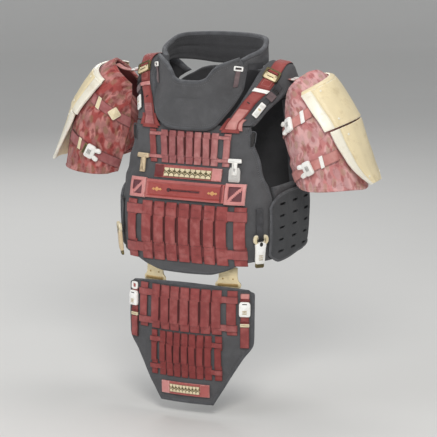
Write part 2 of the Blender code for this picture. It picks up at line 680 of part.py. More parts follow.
# ---------------------------------------------------------------- arm protectors
def arm_pieces():
    for side, name in both("arm_sleeve"):
        cells = []
        for v in SLEEVE_ROWS:
            row = []
            for a in spread(SLEEVE_COLS, SLEEVE_FROM, SLEEVE_TO):
                lo, hi = table(ARM_HEM, a, 1), table(ARM_BRIM, a, 1)
                row.append(arm(a, hi + (lo - hi) * v))
            cells.append(row)
        sheet(name, cells, SLEEVE_T, side, PRINT)

    def plate_cells(rows):
        cells, lift = [], []
        for t, fore, aft, off, slant in rows:
            cells.append([arm(fore + (aft - fore) * c, t + slant * (1 - c) ** 1.5)
                          for c in (0, 0.10, 0.13, 0.3, 0.47, 0.64, 0.82, 1)])
            lift.append(off)
        return cells, lift

    for piece, rows in (("upper_plate", UPPER_PLATE), ("lower_plate", LOWER_PLATE)):
        cells, lift = plate_cells(rows)
        for side, name in both(piece):
            loft_mesh(name, cells, lambda r, c: lift[r], lambda r, c: lift[r] + PLATE_T + (3.0 if c < 2 else 0.0), side,
                      CREAM)
    # webbing: name, angle from, angle to, fraction at each end
    for strap, a0, a1, t0, t1 in (("arm_strap_upper", 72, 150, 0.25, 0.40), ("arm_strap_lower", 47, 148, 0.70, 0.83)):
        for side, name in both(strap):
            cells = []
            for t in (-0.048, 0.0, 0.048):
                cells.append([arm(a0 + (a1 - a0) * c, t0 + (t1 - t0) * c + t) for c in spread(7, 0, 1)])
            loft_mesh(name, cells, 2.0, 2.0 + WEB_T, side, RED)
    for strap, a, t, slope in (("arm_buckle_upper", 120, 0.342, 0.00192), ("arm_buckle_lower", 101, 0.770, 0.00129)):
        for side, name in both(strap):
            p, n = arm(a, t)
            up = arm(a + 8, t + 8 * slope)[0] - arm(a - 8, t - 8 * slope)[0]
            body = [(-16, -19), (16, -19), (17.5, -14), (17.5, 6), (14, 11), (13, 21), (-13, 21), (-14, 11), (-17.5, 6), (-17.5, -14)]
            outline(name, [body], 7.0, pose_of(p, n, up, side, 6.6), WHITE)
    for side, name in both("arm_link"):
        # strap from the yoke's outer face over the shoulder to the inner side of the sleeve's top
        cells = [[(Vector(p) + Vector(d).normalized() * w, Vector(n).normalized()) for p, d, n in ARM_LINK] for w in (-12, 12)]
        loft_mesh(name, cells, 0.0, WEB_T + 0.6, side, PINK)


front_carrier()
back_carrier()
side_bands()
side_panels()
yokes()
collar_piece()
throat_guard()
for row in WEB_ROWS:
    web_row(*row)
shoulder_straps()
tab_straps()
chest_trim()
side_buckles()
apron_piece()
arm_pieces()
print("objects", len([o for o in PART.objects if o.type != "EMPTY"]))
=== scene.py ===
"""Looks for the modular textile armour set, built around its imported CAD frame.

Tables and surfaces are those of the CAD part, in millimetres over the waist line; put() turns them into the
frame's metres. Every cloth piece is a closed padded or thin shell on its solid's own form, with its bound
edges, seams and creases as geometry, and procedural materials on top.
"""
import bpy
from math import sin, cos, atan2, radians, degrees, hypot, pi, sqrt, exp
from mathutils import Vector, Matrix, noise


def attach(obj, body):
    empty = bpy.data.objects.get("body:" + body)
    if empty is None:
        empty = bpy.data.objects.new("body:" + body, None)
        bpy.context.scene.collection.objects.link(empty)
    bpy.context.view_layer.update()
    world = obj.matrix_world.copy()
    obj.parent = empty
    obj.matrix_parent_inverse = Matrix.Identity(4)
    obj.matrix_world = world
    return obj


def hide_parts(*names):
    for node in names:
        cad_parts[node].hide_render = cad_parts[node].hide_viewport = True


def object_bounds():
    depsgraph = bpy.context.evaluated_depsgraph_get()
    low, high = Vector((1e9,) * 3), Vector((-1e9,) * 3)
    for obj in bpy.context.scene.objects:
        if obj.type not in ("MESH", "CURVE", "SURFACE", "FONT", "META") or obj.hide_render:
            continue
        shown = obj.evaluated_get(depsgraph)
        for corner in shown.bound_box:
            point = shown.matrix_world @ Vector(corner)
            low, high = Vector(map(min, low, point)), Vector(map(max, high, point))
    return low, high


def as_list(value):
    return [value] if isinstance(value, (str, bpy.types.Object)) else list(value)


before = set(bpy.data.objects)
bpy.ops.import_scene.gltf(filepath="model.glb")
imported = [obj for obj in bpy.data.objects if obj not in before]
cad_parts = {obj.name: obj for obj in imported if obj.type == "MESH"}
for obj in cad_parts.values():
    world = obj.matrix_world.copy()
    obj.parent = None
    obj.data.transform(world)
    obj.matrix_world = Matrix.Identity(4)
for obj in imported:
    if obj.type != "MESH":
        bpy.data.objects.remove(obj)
CAD_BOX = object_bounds()

MM = 0.001
SHOULDER_Z = 386.0          # the yokes' bearing line over the waist line

# wall thicknesses and layers, in mm
CARRIER_T = 18.0            # padded carrier wall
YOKE_T = 16.0
BAND_T = 9.0
SIDE_PANEL_T = 6.0          # laminated side panel
COLLAR_T = 13.0
GUARD_T = 12.0
APRON_T = 10.0
SLEEVE_T = 7.0
WEB_T = 2.4                 # webbing
GAP = 1.2                   # between a piece and what it lies on

# torso outline: height, half width, front depth, back depth
TORSO = [
    (-120, 199, 157, 140), (-100, 200, 158, 142), (-60, 205, 163, 146), (-10, 209, 166, 150), (40, 211, 164, 150),
    (95, 209, 155, 146), (143, 205, 138, 140), (200, 200, 131, 132), (260, 193, 131, 126), (310, 186, 126, 120),
    (345, 180, 119, 113), (400, 168, 104, 101), (470, 150, 90, 90)]
FRONT_POWER, BACK_POWER = 4.0, 5.6

# front carrier's side edge: height, half width at the edge (the armhole above 115)
FRONT_EDGE = [(-120, 196), (-60, 202), (0, 205), (60, 206), (112, 199), (122, 194), (142, 187), (167, 182), (184, 177),
              (212, 166), (246, 159), (270, 157)]
FRONT_ROWS = [-113, -92, -62, -30, 5, 40, 72, 100, 122, 145, 170, 200, 230, 255]
# lower hem: half width, height
HEM = [(0, -113), (60, -111), (106, -99), (147, -80), (175, -74), (230, -74)]
# back carrier's top edge: half width, height
BACK_TOP = [(0, 377), (60, 375), (95, 368), (118, 356), (150, 338), (176, 312), (200, 306)]
BACK_ROWS = [0.0, 0.08, 0.2, 0.34, 0.48, 0.62, 0.76, 0.88, 1.0]
BACK_EDGE_Y = 30.0

# yoke sections from front to back: inner, mid, outer and drop points (x, y, z)
YOKE = [
    ((84, None, 257), (108, None, 257), (134, None, 257), (157, None, 257)),
    ((102, -111, 283), (126, -107, 281), (150, -97, 279), (171, -82, 277)),
    ((117, -92, 312), (140, -86, 310), (163, -75, 305), (184, -58, 297)),
    ((131, -68, 346), (155, -60, 342), (180, -48, 335), (200, -35, 317)),
    ((139, -35, 381), (166, -30, 379), (192, -22, 370), (211, -14, 335)),
    ((142, 0, 400), (172, 0, 400), (202, 2, 392), (214, 6, 346)),
    ((142, 36, 402), (172, 37, 400), (201, 40, 389), (212, 46, 342)),
    ((133, 72, 388), (161, 74, 381), (188, 74, 366), (201, 74, 328)),
    ((119, None, 358), (145, None, 343), (168, None, 322), (187, None, 311))]

# collar: angle from the front in degrees, base height, rim height
COLLAR_A, COLLAR_B, COLLAR_Y = 138.0, 105.0, 5.0
COLLAR = [(50, 379, 412), (62, 383, 423), (76, 388, 430), (90, 392, 438), (101, 393, 446), (113, 392, 454),
          (128, 390, 458), (145, 386, 459), (162, 381, 460), (180, 380, 460)]

# throat guard outline from the bottom centre to the side corner, and its rim: fraction, x, z
GUARD_LOW = [(0, 0, 241), (0.15, 30, 241.5), (0.3, 59, 246), (0.45, 80, 260.5), (0.58, 94, 280), (0.72, 108, 304),
             (0.86, 121, 340), (1.0, 127, 383)]
GUARD_RIM = [(0, 0, 364), (0.2, 25, 364.5), (0.36, 43, 370), (0.52, 60, 391), (0.68, 76, 404), (0.84, 96, 412),
             (1.0, 114, 419)]
GUARD_ROWS = [0.0, 0.12, 0.3, 0.5, 0.7, 0.88, 1.0]

# webbing rows on the chest and the apron: name, surface, strap centres, strap width, bottom, top, tape heights,
# tape width, half length of the tapes
WEB_ROWS = [
    ("chest_row", "front", (0, 23, 45.5, 68, 99), 15.0, 156.5, 238.5, (171, 228), 9.0, 107.0),
    ("waist_row", "front", (0, 34.5, 69, 103, 147.5), 25.5, -82.0, 64.0, (-53, 41), 24.0, 160.0),
    ("apron_upper_row", "apron", (0, 28, 56, 84, 121.5), 21.0, -257.5, -146.0, (-239, -169), 17.0, 132.0),
    ("apron_lower_row", "apron", (0, 21, 42, 63, 88.5), 14.0, -374.0, -261.0, (-353, -284), 13.0, 95.5)]

# apron: height, half width, centre depth
APRON = [(-134, 160, -158), (-156, 174, -160), (-186, 174, -161), (-232, 174, -162), (-277, 173, -162), (-318, 148, -162),
         (-360, 122, -161), (-400, 98, -160), (-440, 73, -158)]
APRON_BEND = 0.0012

# arm protector: axis ends, then fraction along the axis, side radius, front radius
ARM_TOP, ARM_END = (262, -2, 352), (330, -6, 108)
ARM = [(-0.14, 18, 20), (-0.11, 32, 36), (-0.05, 47, 54), (0.0, 55, 62), (0.15, 70, 73), (0.3, 82, 81), (0.45, 91, 86),
       (0.7, 91, 85), (1.0, 84, 80), (1.15, 80, 77)]
# hem of the sleeve: angle from the outer side towards the front, fraction along the axis
ARM_HEM = [(-225, 0.84), (-200, 0.72), (-180, 0.68), (-155, 0.70), (-125, 0.80), (-90, 0.93), (-45, 1.04), (0, 1.09),
           (45, 1.06), (90, 1.02), (130, 0.97), (152, 0.92)]
SLEEVE_FROM, SLEEVE_TO, SLEEVE_COLS = -222.0, 152.0, 25
# upper edge of the sleeve, closed over the shoulder and open towards the neck
ARM_BRIM = [(-222, 0.10), (-200, 0.14), (-175, 0.19), (-150, 0.17), (-120, 0.07), (-90, -0.01), (-45, -0.10), (0, -0.13),
            (45, -0.13), (90, -0.10), (125, -0.04), (152, 0.03)]
SLEEVE_ROWS = [0.0, 0.1, 0.22, 0.36, 0.5, 0.64, 0.78, 0.9, 1.0]
# plates: fraction along the axis, front angle, rear angle, standoff from the sleeve, slant of the front corner
UPPER_PLATE = [(-0.03, 84, -74, 7, 0.13), (0.06, 78, -70, 8, 0.115), (0.17, 72, -66, 8.5, 0.10), (0.28, 66, -62, 9, 0.09),
               (0.395, 61, -58, 10, 0.075)]
LOWER_PLATE = [(0.405, 54, -56, 9, 0.075), (0.54, 50, -52, 11, 0.07), (0.66, 45, -46, 14, 0.06), (0.78, 39, -38, 18.5, 0.05),
               (0.90, 29, -26, 24, 0.04), (1.02, 17, -14, 31, 0.02)]
PLATE_T = 5.0


# ---------------------------------------------------------------- numbers
SLOPES = {}


def table(rows, at, col):
    """Smooth value of a column at a height or angle, from rows with their first column in order."""
    key = (id(rows), col)
    if key not in SLOPES:
        rs = sorted(rows)
        ms = []
        for k in range(len(rs)):
            if k == 0 or k == len(rs) - 1:
                ms.append(None)
                continue
            p, q, r = rs[k - 1], rs[k], rs[k + 1]
            s0, s1 = (q[col] - p[col]) / (q[0] - p[0]), (r[col] - q[col]) / (r[0] - q[0])
            ms.append(0.0 if s0 * s1 <= 0 else 2 * s0 * s1 / (s0 + s1))
        SLOPES[key] = ([r[0] for r in rs], [r[col] for r in rs], ms, rows)
    xs, ys, ms, _ = SLOPES[key]
    if at <= xs[0]:
        return ys[0]
    if at >= xs[-1]:
        return ys[-1]
    i = 0
    while xs[i + 1] <= at:
        i += 1
    h = xs[i + 1] - xs[i]
    u = (at - xs[i]) / h
    step = (ys[i + 1] - ys[i]) / h
    m0 = step if ms[i] is None else ms[i]
    m1 = step if ms[i + 1] is None else ms[i + 1]
    return ((2 * u ** 3 - 3 * u ** 2 + 1) * ys[i] + (u ** 3 - 2 * u ** 2 + u) * h * m0
            + (-2 * u ** 3 + 3 * u ** 2) * ys[i + 1] + (u ** 3 - u ** 2) * h * m1)


def spread(n, lo=-1.0, hi=1.0):
    return [lo + (hi - lo) * i / n for i in range(n + 1)]


def smooth(a, b, x):
    u = min(1.0, max(0.0, (x - a) / (b - a)))
    return u * u * (3 - 2 * u)


# ---------------------------------------------------------------- surfaces: each gives a point and its normal
def normal_of(surface, a, b, da=0.5, db=0.5):
    u = surface(a + da, b) - surface(a - da, b)
    v = surface(a, b + db) - surface(a, b - db)
    return u.cross(v).normalized()


def front_point(x, z):
    w, f = table(TORSO, z, 1), table(TORSO, z, 2)
    return Vector((x, -f * max(0.0, 1 - (abs(x) / w) ** FRONT_POWER) ** (1 / FRONT_POWER), z))


def front(x, z):
    return front_point(x, z), normal_of(front_point, x, z)


def ring_point(angle, z):
    """Torso outline by the angle from the front centre, in degrees, positive to the wearer's left."""
    s, c = sin(radians(angle)), -cos(radians(angle))
    w = table(TORSO, z, 1)
    d, n = (table(TORSO, z, 2), FRONT_POWER) if c < 0 else (table(TORSO, z, 3), BACK_POWER)
    r = ((abs(s) / w) ** n + (abs(c) / d) ** n) ** (-1 / n)
    return Vector((r * s, r * c, z))


def ring(angle, z):
    return ring_point(angle, z), normal_of(ring_point, angle, z)


def front_angle(x, z):
    p = front_point(x, z)
    return degrees(atan2(p.x, -p.y))


def back_point(x, z):
    w, b = table(TORSO, z, 1), table(TORSO, z, 3)
    return Vector((x, b * max(0.0, 1 - (abs(x) / w) ** BACK_POWER) ** (1 / BACK_POWER), z))


def guard_point(x, z):
    w = smooth(262, 345, z)
    on_chest = front_point(x, min(z, 262)).y - GUARD_T - 1.6
    as_collar = -145 + 75 * (x / 128) ** 2
    return Vector((x, on_chest * (1 - w) + as_collar * w, z))


def guard(x, z):
    return guard_point(x, z), normal_of(guard_point, x, z)


def apron_point(x, z):
    return Vector((x, table(APRON, z, 2) + APRON_BEND * x * x, z))


def apron(x, z):
    return apron_point(x, z), normal_of(apron_point, x, z)


def collar_point(angle, z):
    return Vector((COLLAR_A * sin(radians(angle)), COLLAR_Y - COLLAR_B * cos(radians(angle)), z))


def collar(angle, z):
    return collar_point(angle, z), normal_of(collar_point, angle, z)


def yoke_rows():
    rows = []
    for k, section in enumerate(YOKE):
        row = []
        for x, y, z in section:
            if y is None:
                y = front_point(x, z).y if k == 0 else back_point(x, z).y
            row.append(Vector((x, y, z)))
        rows.append(row)
    return rows


YOKE_PTS = yoke_rows()


def catmull(pts, u):
    """Point at u in 0 .. len-1 on a smooth line through the points."""
    n = len(pts) - 1
    i = min(n - 1, max(0, int(u)))
    f = u - i
    p1, p2 = pts[i], pts[i + 1]
    p0 = pts[i - 1] if i > 0 else p1 * 2 - p2
    p3 = pts[i + 2] if i + 2 <= n else p2 * 2 - p1
    return 0.5 * ((2 * p1) + (p2 - p0) * f + (2 * p0 - 5 * p1 + 4 * p2 - p3) * f * f
                  + (3 * p1 - p0 - 3 * p2 + p3) * f ** 3)


def yoke_point(across, along):
    """across 0 at the neck to 3 at the arm, along 0 at the front to 8 at the back (the wearer's left yoke)."""
    return catmull([catmull(row, across) for row in YOKE_PTS], along)


def yoke(across, along):
    u0, u1 = max(0.0, across - 0.02), min(3.0, across + 0.02)
    v0, v1 = max(0.0, along - 0.02), min(8.0, along + 0.02)
    u = yoke_point(u1, along) - yoke_point(u0, along)
    v = yoke_point(across, v1) - yoke_point(across, v0)
    return yoke_point(across, along), u.cross(v).normalized()


ARM_A, ARM_B = Vector(ARM_TOP), Vector(ARM_END)
ARM_D = (ARM_B - ARM_A).normalized()
ARM_F = (Vector((0, -1, 0)) - ARM_D * ARM_D.dot(Vector((0, -1, 0)))).normalized()
ARM_L = ARM_F.cross(ARM_D).normalized()
if ARM_L.x < 0:
    ARM_L = -ARM_L


def arm(angle, t):
    """Outer face of the sleeve: angle from the outer side towards the front, fraction along the axis."""
    a = radians(angle)
    rl, rf = table(ARM, t, 1), table(ARM, t, 2)
    tuck = -(SLEEVE_T + 3.0) * (1 - smooth(-192, -150, angle))
    p = ARM_A + (ARM_B - ARM_A) * t + ARM_L * (rl * cos(a)) + ARM_F * (rf * sin(a))
    flat = (ARM_L * (cos(a) / rl) + ARM_F * (sin(a) / rf)).normalized()
    grow = (table(ARM, t + 0.02, 1) - table(ARM, t - 0.02, 1)) / (0.04 * (ARM_B - ARM_A).length)
    n = (flat - ARM_D * grow).normalized()
    return p + flat * tuck, n


def put(p):
    """Table millimetres over the waist line to metres from the shoulder origin."""
    return Vector((p[0] * MM, p[1] * MM, (p[2] - SHOULDER_Z) * MM))


def mirrored(p, side):
    return Vector((p[0] * side, p[1], p[2]))


def pose_of(p, n, up, side=1, lift=0.0):
    """Matrix with local Z out of the surface and local Y along up."""
    n = mirrored(n, side).normalized()
    up = mirrored(up, side)
    y = (up - n * up.dot(n)).normalized()
    x = y.cross(n)
    m = Matrix((x, y, n)).transposed().to_4x4()
    m.translation = put(mirrored(p, side)) + n * lift * MM
    return m


# ---------------------------------------------------------------- node materials
def srgb(r, g, b):
    out = []
    for v in (r, g, b):
        v /= 255
        out.append(v / 12.92 if v <= 0.04045 else ((v + 0.055) / 1.055) ** 2.4)
    return (out[0], out[1], out[2], 1.0)


class Look:
    """Small helper round one Principled material."""

    def __init__(self, name, metal=0.0, **sockets):
        self.m = bpy.data.materials.new(name)
        self.m.use_nodes = True
        self.nt = self.m.node_tree
        self.b = self.nt.nodes["Principled BSDF"]
        self.b.inputs["Metallic"].default_value = metal
        for key, value in sockets.items():
            self.b.inputs[key.replace("_", " ")].default_value = value
        self.cache = {}

    def n(self, kind, ins=None, **props):
        node = self.nt.nodes.new(kind)
        for key, value in props.items():
            setattr(node, key, value)
        for key, value in (ins or {}).items():
            self.put(node.inputs[key], value)
        return node

    def put(self, socket, value):
        if isinstance(value, bpy.types.NodeSocket):
            self.nt.links.new(value, socket)
        else:
            socket.default_value = value

    def obj(self):
        if "obj" not in self.cache:
            self.cache["obj"] = self.n("ShaderNodeTexCoord").outputs["Object"]
        return self.cache["obj"]

    def uv(self):
        if "uv" not in self.cache:
            node = self.n("ShaderNodeUVMap", uv_map="UVMap")
            sep = self.n("ShaderNodeSeparateXYZ", {0: node.outputs[0]})
            self.cache["uv"] = (node.outputs[0], sep.outputs[0], sep.outputs[1])
        return self.cache["uv"]

    def xyz(self):
        if "xyz" not in self.cache:
            sep = self.n("ShaderNodeSeparateXYZ", {0: self.obj()})
            self.cache["xyz"] = (sep.outputs[0], sep.outputs[1], sep.outputs[2])
        return self.cache["xyz"]

    def attr(self, name):
        if name not in self.cache:
            self.cache[name] = self.n("ShaderNodeAttribute", attribute_name=name).outputs["Fac"]
        return self.cache[name]

    def f(self, op, a, b=0.0, c=0.0, clamp=False):
        node = self.n("ShaderNodeMath", operation=op, use_clamp=clamp)
        for k, v in enumerate((a, b, c)):
            if k < len(node.inputs):
                self.put(node.inputs[k], v)
        return node.outputs[0]

    def rng(self, x, a, b, lo=0.0, hi=1.0):
        node = self.n("ShaderNodeMapRange", {"Value": x, "From Min": a, "From Max": b, "To Min": lo, "To Max": hi},
                      interpolation_type="SMOOTHSTEP")
        return node.outputs[0]

    def noise(self, scale, detail=3.0, rough=0.55, vec=None, warp=0.0):
        node = self.n("ShaderNodeTexNoise", {"Vector": self.obj() if vec is None else vec, "Scale": scale,
                                             "Detail": detail, "Roughness": rough, "Distortion": warp})
        return node.outputs[0]

    def mix(self, fac, a, b):
        node = self.n("ShaderNodeMix", data_type="RGBA")
        self.put(node.inputs[0], fac)
        self.put(node.inputs[6], a)
        self.put(node.inputs[7], b)
        return node.outputs[2]

    def wave(self, x, pitch, phase=0.0):
        """0..1 wave along a coordinate in metres."""
        k = self.f("MULTIPLY_ADD", x, 2 * pi / pitch, phase)
        return self.f("MULTIPLY_ADD", self.f("SINE", k), 0.5, 0.5)

    def near(self, x, at, half):
        """1 at a value, falling to 0 at half away."""
        return self.rng(self.f("ABSOLUTE", self.f("SUBTRACT", x, at)), 0.0, half, 1.0, 0.0)

    def bump(self, height, distance, normal=None, strength=1.0):
        ins = {"Height": height, "Distance": distance, "Strength": strength}
        if normal is not None:
            ins["Normal"] = normal
        return self.n("ShaderNodeBump", ins).outputs[0]

    def done(self, color, rough, normal=None):
        self.put(self.b.inputs["Base Color"], color)
        self.put(self.b.inputs["Roughness"], rough)
        if normal is not None:
            self.put(self.b.inputs["Normal"], normal)
        return self.m


def shade(c, k):
    return (min(1, c[0] * k), min(1, c[1] * k), min(1, c[2] * k), 1.0)


def cloth(name, base, bind=10.0, fuzz=1.0, thread=None, pitch=0.0014, dust=0.5, worn=1.0):
    """Woven nylon: basket weave, slubs, a stitched row inside the bound edge with painted shade between its stitches,
    dust and wear on the rims.
    """
    k = Look(name, Sheen_Weight=0.08 * fuzz, Sheen_Roughness=0.5, Specular_IOR_Level=0.28)
    _, u, v = k.uv()
    weave = k.f("MAXIMUM", k.f("MULTIPLY", k.wave(u, pitch), k.wave(v, pitch * 2)),
                k.f("MULTIPLY", k.wave(v, pitch), k.wave(u, pitch * 2, pi)))
    big, mid, fine = k.noise(7.0, 3), k.noise(38.0, 4, 0.6), k.noise(420.0, 2, 0.6)
    edge, run = k.attr("edge"), k.attr("run")
    col = k.mix(k.rng(big, 0.32, 0.68), shade(base, 0.86), shade(base, 1.13))
    col = k.mix(k.f("MULTIPLY", k.rng(mid, 0.45, 0.75), 0.45), col, shade(base, 1.35))
    col = k.mix(k.f("MULTIPLY", k.rng(mid, 0.5, 0.25), 0.4), col, shade(base, 0.68))
    col = k.mix(k.f("MULTIPLY", weave, 0.3), col, shade(base, 0.6))
    col = k.mix(k.f("MULTIPLY", k.rng(fine, 0.55, 0.75), 0.3 * dust), col, shade(base, 2.0))
    # rubbed rim
    rub = k.f("MULTIPLY", k.rng(edge, 6.0, 0.0), k.rng(k.noise(24.0, 4), 0.35, 0.7))
    col = k.mix(k.f("MULTIPLY", rub, 0.55 * worn), col, shade(base, 2.1))
    # stitched row: light thread dashes, with painted shade in the gaps between them
    row = k.near(edge, bind + 3.0, 0.9)
    dash = k.rng(k.wave(run, 5.2), 0.28, 0.42)
    stitch = k.f("MULTIPLY", row, dash)
    stitch_gap_shade = k.f("MULTIPLY", row, k.f("SUBTRACT", 1.0, dash))
    col = k.mix(k.f("MULTIPLY", stitch, 0.75), col, thread or shade(base, 1.9))
    col = k.mix(k.f("MULTIPLY", stitch_gap_shade, 0.7), col, shade(base, 0.3))
    height = k.f("ADD", k.f("MULTIPLY", weave, 0.45), k.f("MULTIPLY", fine, 0.5))
    height = k.f("ADD", height, k.f("MULTIPLY", stitch, 1.2))
    nor = k.bump(height, 0.0005)
    nor = k.bump(k.f("ADD", k.noise(55.0, 3), k.f("MULTIPLY", k.noise(16.0, 2), 1.6)), 0.0035, nor, 0.55)
    return k.done(col, k.rng(mid, 0.2, 0.8, 0.78, 0.95), nor)


def binding(name, base):
    """Ribbed grosgrain binding tape, lighter than the cloth, with its own stitch line."""
    k = Look(name, Sheen_Weight=0.1, Sheen_Roughness=0.45, Specular_IOR_Level=0.28)
    edge, run = k.attr("edge"), k.attr("run")
    ribs = k.wave(run, 1.7)
    mott = k.noise(60.0, 4)
    col = k.mix(k.rng(mott, 0.3, 0.7), shade(base, 0.82), shade(base, 1.2))
    col = k.mix(k.f("MULTIPLY", ribs, 0.22), col, shade(base, 0.6))
    row = k.f("MULTIPLY", k.near(edge, 7.2, 0.8), k.rng(k.wave(run, 4.6), 0.25, 0.4))
    col = k.mix(k.f("MULTIPLY", row, 0.6), col, shade(base, 1.9))
    col = k.mix(k.f("MULTIPLY", k.rng(edge, 2.5, 0.0), k.rng(mott, 0.35, 0.65, 0.1, 0.6)), col, shade(base, 1.8))
    nor = k.bump(k.f("ADD", ribs, k.f("MULTIPLY", row, 1.5)), 0.0004)
    nor = k.bump(k.noise(30.0, 3), 0.002, nor, 0.5)
    return k.done(col, k.rng(mott, 0.2, 0.8, 0.62, 0.82), nor)


def webbing(name, base, pale, pitch=0.0022, fade=0.5, dark=0.45):
    """Flat woven webbing: cross ribs, selvedges, faded high spots, and sunk edges darkened with painted shade."""
    k = Look(name, Sheen_Weight=0.14, Sheen_Roughness=0.4, Specular_IOR_Level=0.4)
    _, u, v = k.uv()
    edge = k.attr("edge")
    ribs = k.f("MULTIPLY", k.wave(v, pitch), k.f("MULTIPLY_ADD", k.wave(u, 0.0031), 0.45, 0.55))
    big, mid, fine = k.noise(9.0, 3), k.noise(45.0, 4, 0.6), k.noise(300.0, 2)
    col = k.mix(k.rng(big, 0.3, 0.7), shade(base, 0.88), shade(base, 1.12))
    col = k.mix(k.f("MULTIPLY", k.rng(mid, 0.42, 0.72), fade), col, pale)
    col = k.mix(k.f("MULTIPLY", k.rng(mid, 0.5, 0.28), 0.4), col, shade(base, 0.62))
    col = k.mix(k.f("MULTIPLY", k.f("SUBTRACT", 1.0, ribs), 0.2), col, shade(base, 0.55))
    col = k.mix(k.f("MULTIPLY", k.near(edge, 2.1, 0.7), 0.3), col, shade(base, 0.5))
    # painted shade along the strap's edges, strongest at the rim; dark sets how strong
    col = k.mix(k.rng(edge, 1.3, 0.1, 0.0, dark), col, shade(base, 0.16))
    height = k.f("ADD", ribs, k.f("MULTIPLY", fine, 0.5))
    height = k.f("ADD", height, k.f("MULTIPLY", k.rng(edge, 1.5, 2.4), -0.6))
    nor = k.bump(height, 0.0005)
    nor = k.bump(mid, 0.0018, nor, 0.5)
    return k.done(col, k.rng(mid, 0.25, 0.75, 0.5, 0.72), nor)


def moulded(name, base, grime, metal=0.0, rough=(0.32, 0.52), wear=None, scale=1.0, coat=0.0, chips=0.6):
    """Moulded or coated hard piece: fine grain, grime in random patches, rubbed edges, small scratches."""
    k = Look(name, metal, Coat_Weight=coat, Coat_Roughness=0.25, Specular_IOR_Level=0.5)
    edge = k.attr("edge")
    big, mid, fine = k.noise(11.0 * scale, 3), k.noise(70.0 * scale, 4, 0.62), k.noise(900.0, 2)
    col = k.mix(k.rng(big, 0.3, 0.7), shade(base, 0.9), shade(base, 1.08))
    col = k.mix(k.f("MULTIPLY", k.rng(mid, 0.5, 0.78), 0.35), col, grime)
    scr = k.n("ShaderNodeTexNoise", {"Vector": k.n("ShaderNodeMapping", {"Vector": k.obj(), "Scale": (1.0, 6.0, 14.0),
                                                                          "Rotation": (0.3, 0.7, 0.5)}).outputs[0],
                                     "Scale": 60.0, "Detail": 4.0, "Roughness": 0.7}).outputs[0]
    lines = k.near(scr, 0.5, 0.012)
    col = k.mix(k.f("MULTIPLY", lines, 0.25), col, grime)
    rub = k.f("MULTIPLY", k.rng(edge, 2.2, 0.2), k.rng(k.noise(120.0, 3), 0.36, 0.6))
    col = k.mix(k.f("MULTIPLY", rub, chips), col, wear or shade(base, 1.5))
    nor = k.bump(k.f("ADD", fine, k.f("MULTIPLY", lines, -0.8)), 0.00018)
    nor = k.bump(k.noise(26.0, 2), 0.0016, nor, 0.4)
    return k.done(col, k.rng(mid, 0.25, 0.75, rough[0], rough[1]), nor)


def leafy(name, base, pale, grey, olive, dark, side):
    """Generic leaf camouflage on a soft woven ground: long blobs in three directions, mottle and dark veins."""
    k = Look(name, Sheen_Weight=0.16, Sheen_Roughness=0.45, Specular_IOR_Level=0.3)
    vec, u, v = k.uv()
    bend = k.n("ShaderNodeTexNoise", {"Vector": vec, "Scale": 22.0, "Detail": 2.0}).outputs[1]
    warped = k.n("ShaderNodeMix", data_type="VECTOR")
    k.put(warped.inputs[0], 0.018)
    k.put(warped.inputs[4], vec)
    k.put(warped.inputs[5], bend)
    warp = warped.outputs[1]

    def leaves(angle, size, long, cut, soft, shift):
        m = k.n("ShaderNodeMapping", {"Vector": warp, "Location": (shift, shift * 0.7, 0), "Rotation": (0, 0, radians(angle)),
                                      "Scale": (1.0 / size, 1.0 / (size * long), 1.0)}).outputs[0]
        vo = k.n("ShaderNodeTexVoronoi", {"Vector": m, "Scale": 1.0, "Randomness": 0.85}, voronoi_dimensions="2D").outputs[0]
        return k.rng(vo, cut, cut - soft)

    big, mid, fine = k.noise(12.0, 3), k.noise(55.0, 4, 0.62), k.noise(380.0, 2)
    col = k.mix(k.rng(big, 0.3, 0.7), shade(base, 0.84), shade(base, 1.14))
    col = k.mix(k.f("MULTIPLY", leaves(35, 0.021, 1.9, 0.50, 0.20, 0.31 * side), 0.75), col, pale)
    col = k.mix(k.f("MULTIPLY", leaves(-40, 0.024, 1.8, 0.44, 0.18, 1.7), 0.7), col, grey)
    col = k.mix(k.f("MULTIPLY", leaves(80, 0.022, 1.7, 0.33, 0.16, 3.1), 0.6), col, olive)
    col = k.mix(k.f("MULTIPLY", leaves(-10, 0.016, 2.2, 0.30, 0.14, 5.3), 0.6), col, dark)
    vein = k.near(k.noise(26.0, 3, 0.5, warp), 0.5, 0.02)
    col = k.mix(k.f("MULTIPLY", vein, 0.3), col, shade(dark, 0.8))
    col = k.mix(k.f("MULTIPLY", k.rng(mid, 0.5, 0.75), 0.35), col, pale)
    weave = k.f("MULTIPLY", k.wave(u, 0.0013), k.wave(v, 0.0013))
    col = k.mix(k.f("MULTIPLY", weave, 0.16), col, shade(base, 0.5))
    edge, run = k.attr("edge"), k.attr("run")
    row = k.f("MULTIPLY", k.near(edge, 11.0, 0.9), k.rng(k.wave(run, 5.0), 0.25, 0.4))
    col = k.mix(k.f("MULTIPLY", row, 0.6), col, pale)
    nor = k.bump(k.f("ADD", k.f("MULTIPLY", weave, 0.6), k.f("ADD", fine, row)), 0.0005)
    nor = k.bump(k.f("ADD", mid, k.f("MULTIPLY", k.noise(20.0, 2), 1.6)), 0.004, nor, 0.6)
    return k.done(col, k.rng(mid, 0.2, 0.8, 0.62, 0.85), nor)


